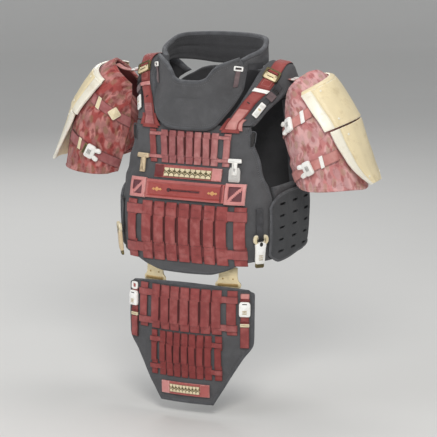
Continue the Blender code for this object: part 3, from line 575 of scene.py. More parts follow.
DARKC = srgb(86, 86, 88)
CLOTH = cloth("cloth_dark", DARKC)
CLOTH_GUARD = cloth("cloth_guard", srgb(88, 88, 90), worn=0.7)
LINING = cloth("cloth_lining", srgb(66, 66, 68), fuzz=1.4, pitch=0.002)
# side panel cloth, darker than the carrier cloth: painted shade for the light falling off at the sides
LAMINATE_SHADED = cloth("cloth_laminate_painted_shade", srgb(74, 75, 77), bind=7.0, fuzz=0.6)
BINDING = binding("tape_binding", srgb(88, 89, 92))
BINDING_DARK = binding("tape_binding_dark", srgb(66, 66, 69))
# chest webbing, lighter and pinker than the waist webbing: painted light on the upward-facing chest row
WEB_CHEST = webbing("webbing_chest", srgb(162, 94, 94), srgb(196, 140, 138), fade=0.6, dark=0.8)
WEB_TAPE = webbing("webbing_tape", srgb(160, 82, 80), srgb(192, 128, 124), fade=0.5, dark=0.8)
# darker copy of the chest webbing for the wearer's right-most chest strap: painted shade
WEB_CHEST_RED_SHADED = webbing("webbing_chest_red_painted_shade", srgb(146, 70, 68), srgb(184, 116, 112), fade=0.6, dark=0.8)
# lighter copy of the chest webbing for the wearer's left chest straps: painted light; also the chest row's pale tapes
WEB_CHEST_PINK_LIT = webbing("webbing_chest_pink_painted_light", srgb(180, 112, 110), srgb(212, 158, 154), fade=0.6, dark=0.8)
# near-black backing sheet standing for the shade in the gaps between straps: painted shade
WEB_SHADE_BACKING = webbing("webbing_backing_painted_shade", srgb(82, 28, 28), srgb(104, 44, 42), fade=0.3)
# darker copy of the tape webbing for the stretches under the straps: painted shade
WEB_UNDER_SHADED = webbing("webbing_under_painted_shade", srgb(108, 42, 42), srgb(134, 66, 62), fade=0.3)
WEB_WAIST = webbing("webbing_waist", srgb(152, 68, 66), srgb(190, 118, 114), fade=0.6, dark=0.9)
WEB_APRON = webbing("webbing_apron", srgb(150, 68, 66), srgb(186, 112, 108), dark=0.8)
# darker copy of the apron webbing for the lower row: painted shade lower down
WEB_LOWER_SHADED = webbing("webbing_apron_lower_painted_shade", srgb(140, 54, 52), srgb(168, 88, 84), dark=0.85)
WEB_STRAP = webbing("webbing_strap", srgb(152, 66, 62), srgb(186, 112, 106), fade=0.4)
WEB_PINK = webbing("webbing_pale", srgb(206, 136, 130), srgb(228, 180, 172), fade=0.4)
WEB_DARK = webbing("webbing_dark", srgb(64, 64, 67), srgb(92, 92, 96))
WEB_GREY = webbing("webbing_grey", srgb(118, 100, 102), srgb(150, 132, 132))
RED_HARD = moulded("moulded_red", srgb(178, 96, 92), srgb(132, 58, 56), wear=srgb(214, 156, 150))
# darker copy of the moulded red for the chest bar's sunk panel: painted shade
RED_PANEL_SHADED = moulded("moulded_red_panel_painted_shade", srgb(160, 68, 62), srgb(118, 42, 40), wear=srgb(196, 120, 110))
# near-black red laid in the chest bar's groove and round hole: painted shade
GROOVE_SHADE = moulded("moulded_groove_painted_shade", srgb(62, 22, 26), srgb(40, 14, 18), wear=srgb(110, 50, 52))
GOLD_SOFT = moulded("moulded_gold_soft", srgb(214, 158, 100), srgb(170, 100, 66), metal=0.2, wear=srgb(236, 200, 146))
RED_DARK = moulded("moulded_dark_red", srgb(112, 34, 34), srgb(70, 20, 22), wear=srgb(160, 80, 76))
PINK_HARD = moulded("moulded_pink", srgb(206, 138, 134), srgb(160, 88, 86), wear=srgb(236, 196, 190))
# dark mauve for the bar ends' sunk middle: painted shade
MAUVE_SHADED = moulded("moulded_mauve_painted_shade", srgb(104, 56, 62), srgb(70, 32, 36), wear=srgb(160, 100, 100))
GREY_HARD = moulded("moulded_pale_grey", srgb(196, 194, 190), srgb(150, 144, 136), wear=srgb(232, 230, 226))
CREAM_HARD = moulded("moulded_cream", srgb(230, 214, 176), srgb(150, 124, 84), wear=srgb(244, 236, 214))
TAN_HARD = moulded("moulded_tan", srgb(212, 190, 156), srgb(132, 104, 70), wear=srgb(226, 206, 172))
WHITE_HARD = moulded("moulded_white", srgb(252, 250, 244), srgb(206, 198, 180), wear=srgb(250, 248, 240))
OLIVE_HARD = moulded("moulded_olive", srgb(98, 88, 58), srgb(54, 46, 30), metal=0.5, wear=srgb(170, 152, 100))
GOLD_DEEP = moulded("moulded_gold_deep", srgb(178, 146, 92), srgb(110, 84, 48), metal=0.4, wear=srgb(226, 202, 150))
GOLD_HARD = moulded("moulded_gold", srgb(240, 222, 180), srgb(150, 126, 80), metal=0.3, rough=(0.28, 0.45), wear=srgb(240, 226, 190))
BLACK_HARD = moulded("moulded_black", srgb(34, 32, 32), srgb(18, 16, 16), wear=srgb(70, 68, 66))
PLATE = moulded("plate_cream", srgb(244, 227, 186), srgb(176, 150, 100), rough=(0.34, 0.5), wear=srgb(250, 244, 226), scale=0.55, coat=0.25, chips=0.8)
PLATE_LIP = moulded("plate_lip", srgb(246, 240, 222), srgb(190, 168, 124), rough=(0.32, 0.48), wear=srgb(252, 250, 240), scale=0.6, coat=0.25, chips=0.8)
# one print in two copies, lighter on the wearer's left arm and darker on the right: partly a difference in the cloth,
# partly painted light and painted shade
PRINTS = {1: leafy("print_leafy_L_partly_painted_light", srgb(206, 136, 134), srgb(234, 188, 186), srgb(204, 158, 158), srgb(180, 148, 126), srgb(160, 84, 84), 1),
          -1: leafy("print_leafy_R_partly_painted_shade", srgb(170, 78, 74), srgb(208, 146, 140), srgb(162, 110, 106), srgb(140, 112, 84), srgb(112, 34, 36), -1)}
PRINT_LINING = cloth("print_lining", srgb(104, 44, 44), fuzz=1.2)


# ---------------------------------------------------------------- mesh builders
def soft_fold(q, creases, seed=0.0):
    """Height at a surface place from listed soft troughs (negative) and ridges, each a wandering line (ax, ay, bx, by,
    width, depth)."""
    wob = noise.noise(Vector((q[0] * 0.018, q[1] * 0.018, seed))) * 9.0
    qx, qy = q[0] + wob, q[1] - wob * 0.7
    h = 0.0
    for ax, ay, bx, by, w, depth in creases:
        dx, dy = bx - ax, by - ay
        t = ((qx - ax) * dx + (qy - ay) * dy) / (dx * dx + dy * dy)
        t = min(1.0, max(0.0, t))
        ex, ey = qx - ax - dx * t, qy - ay - dy * t
        d2 = (ex * ex + ey * ey) / (w * w)
        if d2 < 9:
            h += depth * exp(-d2) * (0.3 + 0.7 * sin(pi * (0.08 + 0.84 * t)))
    return h


def uneven(p, amount, size, seed=0.0):
    return amount * noise.noise(Vector((p[0] / size, p[1] / size, p[2] / size + seed)))


def stations(length, step, near=(0.0, 1.2, 3.0, 5.5, 8.5)):
    """Places 0..1 along a length in mm, a step apart, closer at both ends."""
    n = max(1, round(length / step))
    near = [x for x in near if x < length * 0.45]
    top = near[-1] if near else 0.0
    keep = [i / n for i in range(n + 1) if i in (0, n) or top + 0.45 * step < i / n * length < length - top - 0.45 * step]
    ends = [x / length for x in near] + [1 - x / length for x in near]
    return sorted(set([round(x, 6) for x in keep + ends]))


def round_edge(d, r):
    if r <= 0:
        return 1.0
    x = min(1.0, (d + 0.06 * r) / r)
    return sqrt(max(0.0, 1 - (1 - x) ** 2))


class Piece:
    """One visible piece: collects shells, slabs and tubes, then becomes an object that rides on the frame."""

    def __init__(self, name):
        self.name, self.v, self.f, self.m, self.uv, self.edge, self.run, self.mats = name, [], [], [], [], [], [], []
        self.size, self.more, self.caps = None, 0.0, []

    def mat(self, m):
        if m not in self.mats:
            self.mats.append(m)
        return self.mats.index(m)

    def shell(self, at, cs, rs, low, high, mats, side=1, soft=(0, 0, 0, 0), bind=0.0, bound=(1, 1, 1, 1), out=None,
              inn=None, drop=None, measure=True):
        """Closed padded shell over at(c, r) -> (point, normal). mats: outer, binding, inner. soft and bound are for
        the left, right, low and high edges. out and inn add height to the outer and inner face; drop removes cells."""
        R, C = len(rs), len(cs)
        grid = [[at(c, r) for c in cs] for r in rs]
        U = [[0.0] * C for _ in rs]
        V = [[0.0] * C for _ in rs]
        for r in range(R):
            for c in range(C):
                if c:
                    U[r][c] = U[r][c - 1] + (grid[r][c][0] - grid[r][c - 1][0]).length
                if r:
                    V[r][c] = V[r - 1][c] + (grid[r][c][0] - grid[r - 1][c][0]).length
        base = len(self.v)
        area = sum((grid[r][c + 1][0] - grid[r][c][0]).cross(grid[r + 1][c][0] - grid[r][c][0]).length
                   for r in range(R - 1) for c in range(C - 1)) * 1e-6
        if measure:
            self.size = (max(row[-1] for row in U) * MM, max(V[-1]) * MM, area)
        else:
            self.more += area
        dist = []
        for layer in (0, 1):
            for r in range(R):
                for c in range(C):
                    p, n = grid[r][c]
                    ds = (U[r][c], U[r][-1] - U[r][c], V[r][c], V[-1][c] - V[r][c])
                    f = 1.0
                    for d, s in zip(ds, soft):
                        f = min(f, round_edge(d, s))
                    d = min([x for x, b in zip(ds, bound) if b] or [99.0])
                    lo = low(p, d) if callable(low) else low
                    hi = high(p, d) if callable(high) else high
                    mid, half = (lo + hi) / 2, (hi - lo) / 2
                    if layer:
                        h = mid + half * f + (out(p, d, cs[c], rs[r]) * min(1.0, f * 1.1) if out else 0.0)
                        if bind and d < bind:
                            h += 0.9 * min(1.0, d / 2.0)
                        elif bind and d < bind + 6:
                            h -= 1.1 * exp(-((d - bind - 2.4) / 1.6) ** 2)
                    else:
                        h = mid - half * f + (inn(p, d, cs[c], rs[r]) if inn else 0.0)
                    self.v.append(put(mirrored(p + n * h, side)))
                    self.uv.append(((U[r][c] - U[r][-1] / 2) * MM, V[r][c] * MM))
                    self.edge.append(d)
                    self.run.append(V[r][c] if min(ds[0], ds[1]) < min(ds[2], ds[3]) else U[r][c])
                    if layer == 0:
                        dist.append(d)
        top = base + R * C
        # which way the grid winds
        a, b = grid[R // 2][C // 2], grid[R // 2][C // 2 - 1]
        d = grid[R // 2 - 1][C // 2] if R > 1 else a
        wind = (a[0] - b[0]).cross(a[0] - d[0]).dot(a[1]) * side > 0

        def face(ids, m):
            self.f.append(tuple(ids if wind else reversed(ids)))
            self.m.append(m)

        outer, tape, inner = (self.mat(x) for x in mats)
        gone = set()
        if drop:
            gone = {(r, c) for r in range(R - 1) for c in range(C - 1) if drop((cs[c] + cs[c + 1]) / 2, (rs[r] + rs[r + 1]) / 2)}
        for r in range(R - 1):
            for c in range(C - 1):
                if (r, c) in gone:
                    continue
                i = r * C + c
                q = (i, i + 1, i + C + 1, i + C)
                dd = sum(dist[x] for x in q) / 4
                face([top + x for x in q], tape if dd < bind else outer)
                face([base + x for x in reversed(q)], tape if dd < bind else inner)
                for k, (nr, nc) in enumerate(((r - 1, c), (r, c + 1), (r + 1, c), (r, c - 1))):
                    if 0 <= nr < R - 1 and 0 <= nc < C - 1 and (nr, nc) not in gone:
                        continue
                    x, y = q[k], q[(k + 1) % 4]
                    face((base + x, base + y, top + y, top + x), tape if bind else outer)
        return self

    def slab(self, loop, thick, pose, mat, bevel=1.0, z0=0.0, crown=0.0, soft=0.0):
        """Moulded flat piece from an outline (counter-clockwise), its edges rounded and its face a little crowned."""
        if soft:
            loop = soften(loop, soft)
        m, n, base = self.mat(mat), len(loop), len(self.v)
        b = min(bevel, thick * 0.45)
        rings = [(b, z0, 1.0), (0.3 * b, z0 + 0.3 * b, 0.4), (0.0, z0 + b, 0.0), (0.0, z0 + thick - b, 0.0),
                 (0.3 * b, z0 + thick - 0.3 * b, 0.1), (b, z0 + thick, 1.0), (b + 1.4, z0 + thick + crown, 3.0)]
        for d, z, e in rings:
            for x, y in inset(loop, d):
                self.v.append(pose @ Vector((x * MM, y * MM, z * MM)))
                self.uv.append((x * MM, y * MM))
                self.edge.append(e)
                self.run.append(x + y)
        for k in range(len(rings) - 1):
            for i in range(n):
                j = (i + 1) % n
                a = base + k * n
                self.f.append((a + i, a + j, a + n + j, a + n + i))
                self.m.append(m)
        self.caps += [len(self.f), len(self.f) + 1]
        self.f.append(tuple(base + i for i in reversed(range(n))))
        self.m.append(m)
        self.f.append(tuple(base + (len(rings) - 1) * n + i for i in range(n)))
        self.m.append(m)
        return self

    def ring(self, outer, inner, thick, pose, mat, bevel=0.8, z0=0.0):
        """Moulded frame between two outlines with the same number of corners."""
        m, n, base = self.mat(mat), len(outer), len(self.v)
        prof = [(0.1, 0.0, 1), (0.0, bevel, 0), (0.0, thick - bevel, 0), (0.12, thick, 1), (0.5, thick + 0.3, 3), (0.88, thick, 1),
                (1.0, thick - bevel, 0), (1.0, bevel, 0), (0.9, 0.0, 1)]
        for f, z, e in prof:
            for (x0, y0), (x1, y1) in zip(outer, inner):
                x, y = x0 + (x1 - x0) * f, y0 + (y1 - y0) * f
                self.v.append(pose @ Vector((x * MM, y * MM, (z + z0) * MM)))
                self.uv.append((x * MM, y * MM))
                self.edge.append(e)
                self.run.append(x + y)
        for k in range(len(prof)):
            for i in range(n):
                j, l = (i + 1) % n, (k + 1) % len(prof)
                self.f.append((base + k * n + i, base + k * n + j, base + l * n + j, base + l * n + i))
                self.m.append(m)
        return self

    def tube(self, pts, radius, mat, side=1, k=8, closed=False, flat=1.0):
        """Round or flattened cord through points in table millimetres."""
        m, base, n = self.mat(mat), len(self.v), len(pts)
        up = Vector((0, 0, 1))
        run = 0.0
        for i, p in enumerate(pts):
            a = pts[(i - 1) % n] if closed or i else pts[0]
            b = pts[(i + 1) % n] if closed or i < n - 1 else pts[-1]
            t = (b - a).normalized()
            x = t.cross(up)
            if x.length < 0.2:
                x = t.cross(Vector((0, 1, 0)))
            x.normalize()
            y = x.cross(t)
            run += (p - pts[i - 1]).length if i else 0
            for j in range(k):
                w = 2 * pi * j / k
                self.v.append(put(mirrored(p + x * (cos(w) * radius) + y * (sin(w) * radius * flat), side)))
                self.uv.append((w / (2 * pi) * radius * 6 * MM, run * MM))
                self.edge.append(2.5)
                self.run.append(run)
        rows = n if closed else n - 1
        for i in range(rows):
            for j in range(k):
                a, b = i * k, ((i + 1) % n) * k
                q = (base + a + j, base + a + (j + 1) % k, base + b + (j + 1) % k, base + b + j)
                self.f.append(q if side > 0 else tuple(reversed(q)))
                self.m.append(m)
        if not closed:
            for a, back in ((0, True), ((n - 1) * k, False)):
                q = [base + a + j for j in range(k)]
                self.f.append(tuple(reversed(q)) if back == (side > 0) else tuple(q))
                self.m.append(m)
        return self

    def make(self, nodes, sheet=None, pad=None, angle=42.0, cut=None):
        me = bpy.data.meshes.new(self.name)
        me.from_pydata(self.v, [], self.f)
        layer = me.uv_layers.new(name="UVMap")
        flat = []
        for loop in me.loops:
            flat.extend(self.uv[loop.vertex_index])
        layer.data.foreach_set("uv", flat)
        for name, values in (("edge", self.edge), ("run", self.run)):
            a = me.attributes.new(name, "FLOAT", "POINT")
            a.data.foreach_set("value", values)
        for m in self.mats:
            me.materials.append(m)
        me.polygons.foreach_set("material_index", self.m)
        flats = set(self.caps)
        me.polygons.foreach_set("use_smooth", [k not in flats for k in range(len(me.polygons))])
        me.update()
        me.set_sharp_from_angle(angle=radians(angle))
        ob = bpy.data.objects.new("vis_" + self.name, me)
        bpy.context.scene.collection.objects.link(ob)
        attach(ob, "root")
        if nodes:
            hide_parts(*nodes)
        if sheet:
            held, rests = sheet
            w, l, area = self.size
            area += self.more                   # webbing folded back on itself is part of the same cut
            if area > w * l:
                w, l = min(w, l), area / min(w, l)
            w, l = round(max(w, 0.011), 3), round(max(l, 0.011), 3)
            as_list(rests)
            print("SHEET", self.name, w, l, round(area, 4))
        if pad is not None:
            if self.size:
                print("PAD", self.name, [round(x, 3) for x in self.size])
        return ob


def inset(loop, d):
    if not d:
        return loop
    out, n = [], len(loop)
    for i, (x, y) in enumerate(loop):
        ax, ay = x - loop[i - 1][0], y - loop[i - 1][1]
        bx, by = loop[(i + 1) % n][0] - x, loop[(i + 1) % n][1] - y
        la, lb = hypot(ax, ay) or 1, hypot(bx, by) or 1
        n1, n2 = (-ay / la, ax / la), (-by / lb, bx / lb)
        s = 1 + n1[0] * n2[0] + n1[1] * n2[1]
        s = max(s, 0.5)
        out.append((x + (n1[0] + n2[0]) / s * d, y + (n1[1] + n2[1]) / s * d))
    return out


def soften(loop, r, k=4):
    out, n = [], len(loop)
    for i, (x, y) in enumerate(loop):
        px, py = loop[i - 1]
        qx, qy = loop[(i + 1) % n]
        a, b = hypot(px - x, py - y), hypot(qx - x, qy - y)
        ra, rb = min(r, a / 2.2), min(r, b / 2.2)
        sx, sy = x + (px - x) * ra / a, y + (py - y) * ra / a
        ex, ey = x + (qx - x) * rb / b, y + (qy - y) * rb / b
        for j in range(k):
            t = j / (k - 1)
            out.append(((1 - t) ** 2 * sx + 2 * t * (1 - t) * x + t * t * ex, (1 - t) ** 2 * sy + 2 * t * (1 - t) * y + t * t * ey))
    return out


def band(at, r0, r1, c0, c1):
    """A smaller patch of a surface at(c, r)."""
    return lambda c, r: at(c0 + (c1 - c0) * c, r0 + (r1 - r0) * r)


def span(surface, x0, x1, z0, z1):
    return lambda c, r: surface(x0 + (x1 - x0) * c, z0 + (z1 - z0) * r)


def even(n):
    return [i / n for i in range(n + 1)]


RIBBON = (0.0, 0.05, 0.16, 0.5, 0.84, 0.95, 1.0)


def both(name):
    return ((1, name + "_L"), (-1, name + "_R"))


# ---------------------------------------------------------------- carriers and yokes
def front_at(c, r):
    z0 = -113 + 368 * r
    a = (2 * c - 1) * front_angle(table(FRONT_EDGE, z0, 1), z0)
    x = abs(ring_point(a, z0).x)
    return ring(a, z0 + (table(HEM, x, 1) + 113) * (1 - smooth(-113, -20, z0)))


# troughs and ridges over the front in (x, z): width and depth in mm
FRONT_FOLDS = [(178, 196, 128, 150, 9, -2.4), (176, 178, 134, 118, 12, 1.8), (185, 150, 140, 88, 8, -2.2), (196, 108, 166, 66, 10, -2.6),
               (190, 128, 172, 84, 7, 1.6), (160, 236, 140, 196, 8, -2.0), (205, 52, 184, -10, 9, -1.8), (196, 20, 176, -60, 7, 1.4),
               (-178, 202, -122, 146, 11, -2.2), (-180, 170, -138, 124, 8, 1.9), (-190, 140, -150, 82, 9, -2.5), (-199, 96, -170, 58, 12, -2.0),
               (-158, 232, -132, 204, 7, -1.9), (-204, 46, -190, -22, 9, -2.0), (-60, -92, 40, -102, 7, -1.8), (30, -84, 120, -92, 8, 1.4),
               (-150, -70, -90, -92, 8, -1.8), (112, 66, 108, 118, 6, -1.2), (-112, 64, -106, 116, 6, -1.2), (120, 222, 150, 244, 6, -1.4)]


def front_out(p, d, c, r):
    return soft_fold((p.x, p.z), FRONT_FOLDS, 1.0) + uneven(p, 0.9, 42, 2.0) + uneven(p, 0.35, 14, 5.0)


def front_carrier():
    s = Piece("front_carrier")
    s.shell(front_at, stations(690, 7.5), stations(368, 7.0), -CARRIER_T, 0, (CLOTH, BINDING, LINING), soft=(7, 7, 8, 2),
            bind=9.0, bound=(1, 1, 1, 0), out=front_out, inn=lambda p, d, c, r: uneven(p, 1.2, 50, 9))
    # webbing slot beside each armhole: a black insert stands for the shade inside it (painted shade)
    for side in (1, -1):
        p, n = front(161.5, 225)
        up = front_point(165, 245) - front_point(161, 205)
        s.slab([(-3.5, -17), (3.5, -17), (4.5, 0), (3.5, 17), (-3.5, 17), (-4.5, 0)], 2.2, pose_of(p, n, up, side, -0.6), BLACK_HARD, 0.7, soft=3)
        pts = [pose_of(p, n, up, 1, 0.4) @ Vector((x * MM, y * MM, 0)) for x, y in soften([(-6, -20), (6, -20), (7, 0), (6, 20), (-6, 20), (-7, 0)], 5)]
        s.tube([Vector((q.x / MM, q.y / MM, q.z / MM + SHOULDER_Z)) for q in pts], 1.3, BINDING, side, 6, True)
    s.make(["front_carrier"], pad=0.7)


BACK_FOLDS = [(-150, 250, -60, 200, 12, -2.4), (150, 240, 80, 178, 10, -2.6), (-170, 140, -90, 110, 9, 1.8), (175, 120, 70, 84, 13, -2.2),
              (-160, 60, -60, 30, 9, -2.0), (160, 40, 110, -30, 8, 1.8), (-120, -20, 0, -50, 12, -2.2), (20, 150, 90, 60, 10, 1.5),
              (-60, 320, -20, 250, 9, -1.6), (60, 330, 40, 270, 8, -1.6), (-176, 200, -140, 150, 8, -2.0), (178, 200, 150, 130, 9, -1.9)]


def back_at(c, r):
    side_z = -78 + 386 * r
    edge = 180 - degrees(atan2(table(TORSO, side_z, 1), -BACK_EDGE_Y))
    a = 180 - (2 * c - 1) * edge
    x = abs(ring_point(a, side_z).x)
    return ring(a, -78 + (table(BACK_TOP, x, 1) + 78) * r)


def back_carrier():
    s = Piece("back_carrier")

    def out(p, d, c, r):
        h = soft_fold((p.x, p.z), BACK_FOLDS, 4.0) + uneven(p, 1.0, 46, 3.0)
        # sewn channels of the plate pocket
        for at, of in ((abs(p.x), 128.0), (p.z, -26.0), (p.z, 268.0)):
            inside = abs(p.x) < 129 and -27 < p.z < 269
            if inside and abs(at - of) < 6:
                h -= 1.5 * exp(-((at - of) / 2.2) ** 2)
        return h

    s.shell(back_at, stations(640, 8.0), stations(410, 8.0), -CARRIER_T, 0, (CLOTH, BINDING, LINING), soft=(7, 7, 8, 4), bind=9.0,
            bound=(1, 1, 1, 0), out=out, inn=lambda p, d, c, r: uneven(p, 1.2, 50, 12))
    s.make(["back_carrier"], pad=0.7)


SIDE_CUT = [(62.5, -58, 60), (66, -68, 76), (74, -80, 90), (88, -78, 94), (100, -72, 94), (112, -66, 90), (124, -56, 66)]


def side_pieces():
    for side, name in both("side_band"):
        def at(c, r):
            z = -70 + 178 * r
            start = front_angle(table(FRONT_EDGE, z, 1), z) + (4.5 if z < -10 else 2.4)
            end = degrees(atan2(table(TORSO, z, 1), -(BACK_EDGE_Y - 1.5)))
            return ring(start + (end - start) * c, z)
        s = Piece(name)
        folds = [(10, 160, 60, 120, 8, -1.6), (80, 170, 40, 90, 9, 1.2), (20, 40, 100, 60, 8, -1.6)]
        s.shell(at, stations(140, 7), stations(178, 7), -BAND_T, 0, (CLOTH, BINDING, LINING), side, soft=(1, 1, 3, 4), bind=8.0,
                bound=(0, 0, 1, 1), out=lambda p, d, c, r: soft_fold((c * 140, r * 178), folds, side) + uneven(p, 0.7, 40, side))
        s.make([name], pad=0.5)
    for side, name in both("side_panel"):
        def at(c, r):
            a = 62.5 + 61.5 * c
            lo, hi = table(SIDE_CUT, a, 1), table(SIDE_CUT, a, 2)
            p, n = ring(a, lo + (hi - lo) * r)
            return p + n * 1.6, n
        s = Piece(name)
        waves = [(20, 150, 90, 120, 16, 1.3), (120, 160, 190, 100, 14, -1.2), (40, 20, 130, 50, 12, 1.0)]
        s.shell(at, stations(232, 5.5, (0, 0.8, 2, 4, 6.5)), stations(165, 5.5, (0, 0.8, 2, 4, 6.5)), 0, SIDE_PANEL_T,
                (LAMINATE_SHADED, BINDING, CLOTH), side, soft=(2.5, 2.5, 2.5, 2.5), bind=6.5,
                out=lambda p, d, c, r: soft_fold((c * 232, r * 165), waves, side) + uneven(p, 0.5, 50, side))
        ob = s.make([name], sheet=("stretched", ["side_band" + name[-2:]]))
        # laser-cut slots, right through the laminate
        cut = bpy.data.meshes.new("slots")
        vs, fs = [], []
        for ang, half in ((74.5, 14), (93, 14), (110, 13), (120, 7)):
            for z in (64, 35, 6, -24, -53):
                lo, hi = table(SIDE_CUT, ang, 1), table(SIDE_CUT, ang, 2)
                if not lo + 12 < z < hi - 10:
                    continue
                p, n = ring(ang, z)
                pose = pose_of(p, n, Vector((0, 0, 1)), side, 0)
                loop = soften([(-half, -3.2), (half, -3.2), (half, 3.2), (-half, 3.2)], 3.2, 4)
                b, k = len(vs), len(loop)
                for h in (-4, 14):
                    vs += [pose @ Vector((x * MM, y * MM, h * MM)) for x, y in loop]
                fs += [(b + i, b + (i + 1) % k, b + k + (i + 1) % k, b + k + i) for i in range(k)]
                fs += [tuple(b + i for i in reversed(range(k))), tuple(b + k + i for i in range(k))]
        cut.from_pydata(vs, [], fs)
        cutter = bpy.data.objects.new("slots", cut)
        bpy.context.scene.collection.objects.link(cutter)
        mod = ob.modifiers.new("slots", "BOOLEAN")
        mod.operation, mod.solver, mod.object = "DIFFERENCE", "EXACT", cutter
        bpy.context.view_layer.objects.active = ob
        with bpy.context.temp_override(object=ob, active_object=ob, selected_objects=[ob]):
            bpy.ops.object.modifier_apply(modifier="slots")
        ob.data.set_sharp_from_angle(angle=radians(42))
        bpy.data.objects.remove(cutter, do_unlink=True)


def yokes():
    for side, name in both("shoulder_yoke"):
        folds = [(5, 60, 60, 90, 9, -2.2), (60, 150, 20, 210, 10, -2.4), (70, 240, 10, 270, 9, 1.8), (66, 60, 80, 130, 8, -1.8),
                 (30, 300, 75, 250, 10, -2.4), (10, 120, 30, 170, 8, 1.5), (74, 320, 40, 350, 8, -1.8)]

        def at(c, r):
            along = min(7.975, max(0.025, 8 * r))
            p, n = yoke(3 * c, along)
            k = smooth(0.0, 0.05, r) * smooth(1.0, 0.95, r)
            n = (n * k + Vector((n.x, n.y, 0)).normalized() * (1 - k)).normalized()
            return p, n

        s = Piece(name)
        s.shell(at, stations(90, 5.5), stations(330, 6.5, (0, 1.5, 4)), -YOKE_T, 0, (CLOTH, BINDING, LINING), side, soft=(6, 7, 1.5, 1.5),
                bind=8.0, bound=(1, 1, 0, 0), out=lambda p, d, c, r: soft_fold((c * 90, r * 330), folds, side * 3.0) + uneven(p, 1.0, 36, side))
        s.make([name], pad=0.6)


# ---------------------------------------------------------------- collar and guard
def collar_pieces():
    def at(c, r):
        a = 50 + 260 * c
        b = a if a <= 180 else 360 - a
        lo, hi = table(COLLAR, b, 1), table(COLLAR, b, 2)
        return collar(a, lo + (hi - lo) * r)

    folds = [(60, 30, 130, 44, 12, -1.8), (160, 50, 260, 36, 12, 1.6), (300, 30, 390, 46, 12, -1.8), (420, 44, 500, 28, 9, 1.5), (230, 12, 330, 18, 8, -1.4)]

    def inner(p, d, c, r):
        h = 0.0
        for z0, w, k in ((0.50, 0.035, 2.2), (0.16, 0.04, 1.8), (0.72, 0.03, 0.8)):
            h += k * exp(-((r - z0 - 0.03 * sin(c * 9)) / w) ** 2)
        return h + uneven(p, 1.0, 40, 7)

    s = Piece("collar")
    s.shell(at, stations(560, 6.0), stations(72, 4.5), -COLLAR_T, 0, (CLOTH, BINDING, LINING), soft=(6, 6, 3, 6.5), bind=8.0,
            bound=(1, 1, 0, 1), out=lambda p, d, c, r: soft_fold((c * 560, r * 72), folds, 2) + uneven(p, 0.8, 36, 4), inn=inner)
    s.make(["collar"], pad=0.75)

    def gat(c, r):
        c = 2 * c - 1
        k = 1 if c >= 0 else -1
        lx, lz = table(GUARD_LOW, abs(c), 1), table(GUARD_LOW, abs(c), 2)
        rx, rz = table(GUARD_RIM, abs(c), 1), table(GUARD_RIM, abs(c), 2)
        return guard(k * (lx + (rx - lx) * r), lz + (rz - lz) * r)

    gf = [(-110, 330, -84, 262, 10, -2.0), (-96, 350, -60, 300, 14, 1.8), (104, 346, 86, 270, 9, -2.0), (90, 372, 60, 330, 13, 1.6),
          (-42, 319, 36, 320, 2.6, -3.4), (-66, 390, -40, 344, 10, -1.6), (70, 392, 46, 350, 9, -1.4), (-20, 352, 30, 346, 10, 1.2),
          (-60, 262, -30, 250, 7, -1.4), (40, 250, 78, 270, 8, -1.4)]

    def gout(p, d, c, r):
        h = soft_fold((p.x, p.z), gf, 0.0) + uneven(p, 1.0, 48, 1) + 2.2 * exp(-((p.x / 70) ** 2 + ((p.z - 300) / 46) ** 2))
        # bare patch field, a little sunk, with a raised edge
        e = max(abs(p.x) - 31, abs(p.z - 278.5) - 13.5)
        return h + (0.9 * exp(-(e / 1.8) ** 2)) - (0.5 if e < -1 else 0)

    s = Piece("throat_guard")
    s.shell(gat, stations(330, 4.6), stations(130, 4.6), -GUARD_T, 0, (CLOTH_GUARD, BINDING, LINING), soft=(5, 5, 6, 6), bind=7.5,
            out=gout, inn=lambda p, d, c, r: uneven(p, 1.0, 40, 3))
    s.make(["throat_guard"], pad=0.7)

    for side, name in both("guard_tie"):
        s = Piece(name)
        tie = lambda c, r: collar(58 + 24 * c, 386 + 16 * r)
        s.shell(tie, even(12), RIBBON, GAP, GAP + WEB_T, (WEB_DARK, WEB_DARK, WEB_DARK), side, soft=(0.5, 0.5, 1, 1),
                out=lambda p, d, c, r: 0.5 * sin(c * 7))
        s.make([name], sheet=("stretched", ["collar"]))
        # its loose end with a small white slider, down the guard's corner
        e = Piece("guard_slider" + name[-2:])
        fall = lambda c, r: (lambda q: (q[0] + q[1] * 0.6, q[1]))(guard(106 + 9 * c - 6 * (1 - r), 348 + 44 * r))
        e.shell(fall, RIBBON, even(14), 0.8, 2.8, (WEB_GREY, WEB_GREY, WEB_DARK), side, soft=(1, 1, 1, 1), out=lambda p, d, c, r: 0.7 * sin(r * 8))
        p, n = guard(110, 393)
        pose = pose_of(p, n, Vector((0.2, 0, 1)), side, 2.2)
        e.ring(soften([(-12, -6), (12, -6), (12, 6), (-12, 6)], 3), soften([(-8, -2.5), (8, -2.5), (8, 2.5), (-8, 2.5)], 1), 3.4, pose, WHITE_HARD)
        ob = e.make([])


# ---------------------------------------------------------------- webbing rows
SEGMENTS = {"chest_row": [(222, 238.5), (173, 226), (156.5, 178)], "waist_row": [(26, 64), (-39, 31), (-82, -34)],
            "apron_upper_row": [(-179, -146), (-241, -174), (-257.5, -236)], "apron_lower_row": [(-297, -261), (-341, -292), (-374, -336)]}
# straps from the wearer's right to the left, then the pale tapes of the outer gaps; last how much wider they look. On
# the chest row the wearer's right-most strap takes a darker copy (painted shade) and the four on the left a lighter
# copy (painted light).
ROW_LOOKS = {"chest_row": ((WEB_CHEST_RED_SHADED, WEB_CHEST, WEB_CHEST, WEB_CHEST, WEB_CHEST, WEB_CHEST_PINK_LIT, WEB_CHEST_PINK_LIT, WEB_CHEST_PINK_LIT, WEB_CHEST_PINK_LIT), WEB_CHEST_PINK_LIT, 1.26),
             "waist_row": ((WEB_WAIST,), WEB_TAPE, 1.14),
             "apron_upper_row": ((WEB_APRON,), WEB_TAPE, 1.17), "apron_lower_row": ((WEB_LOWER_SHADED,), WEB_WAIST, 1.28)}


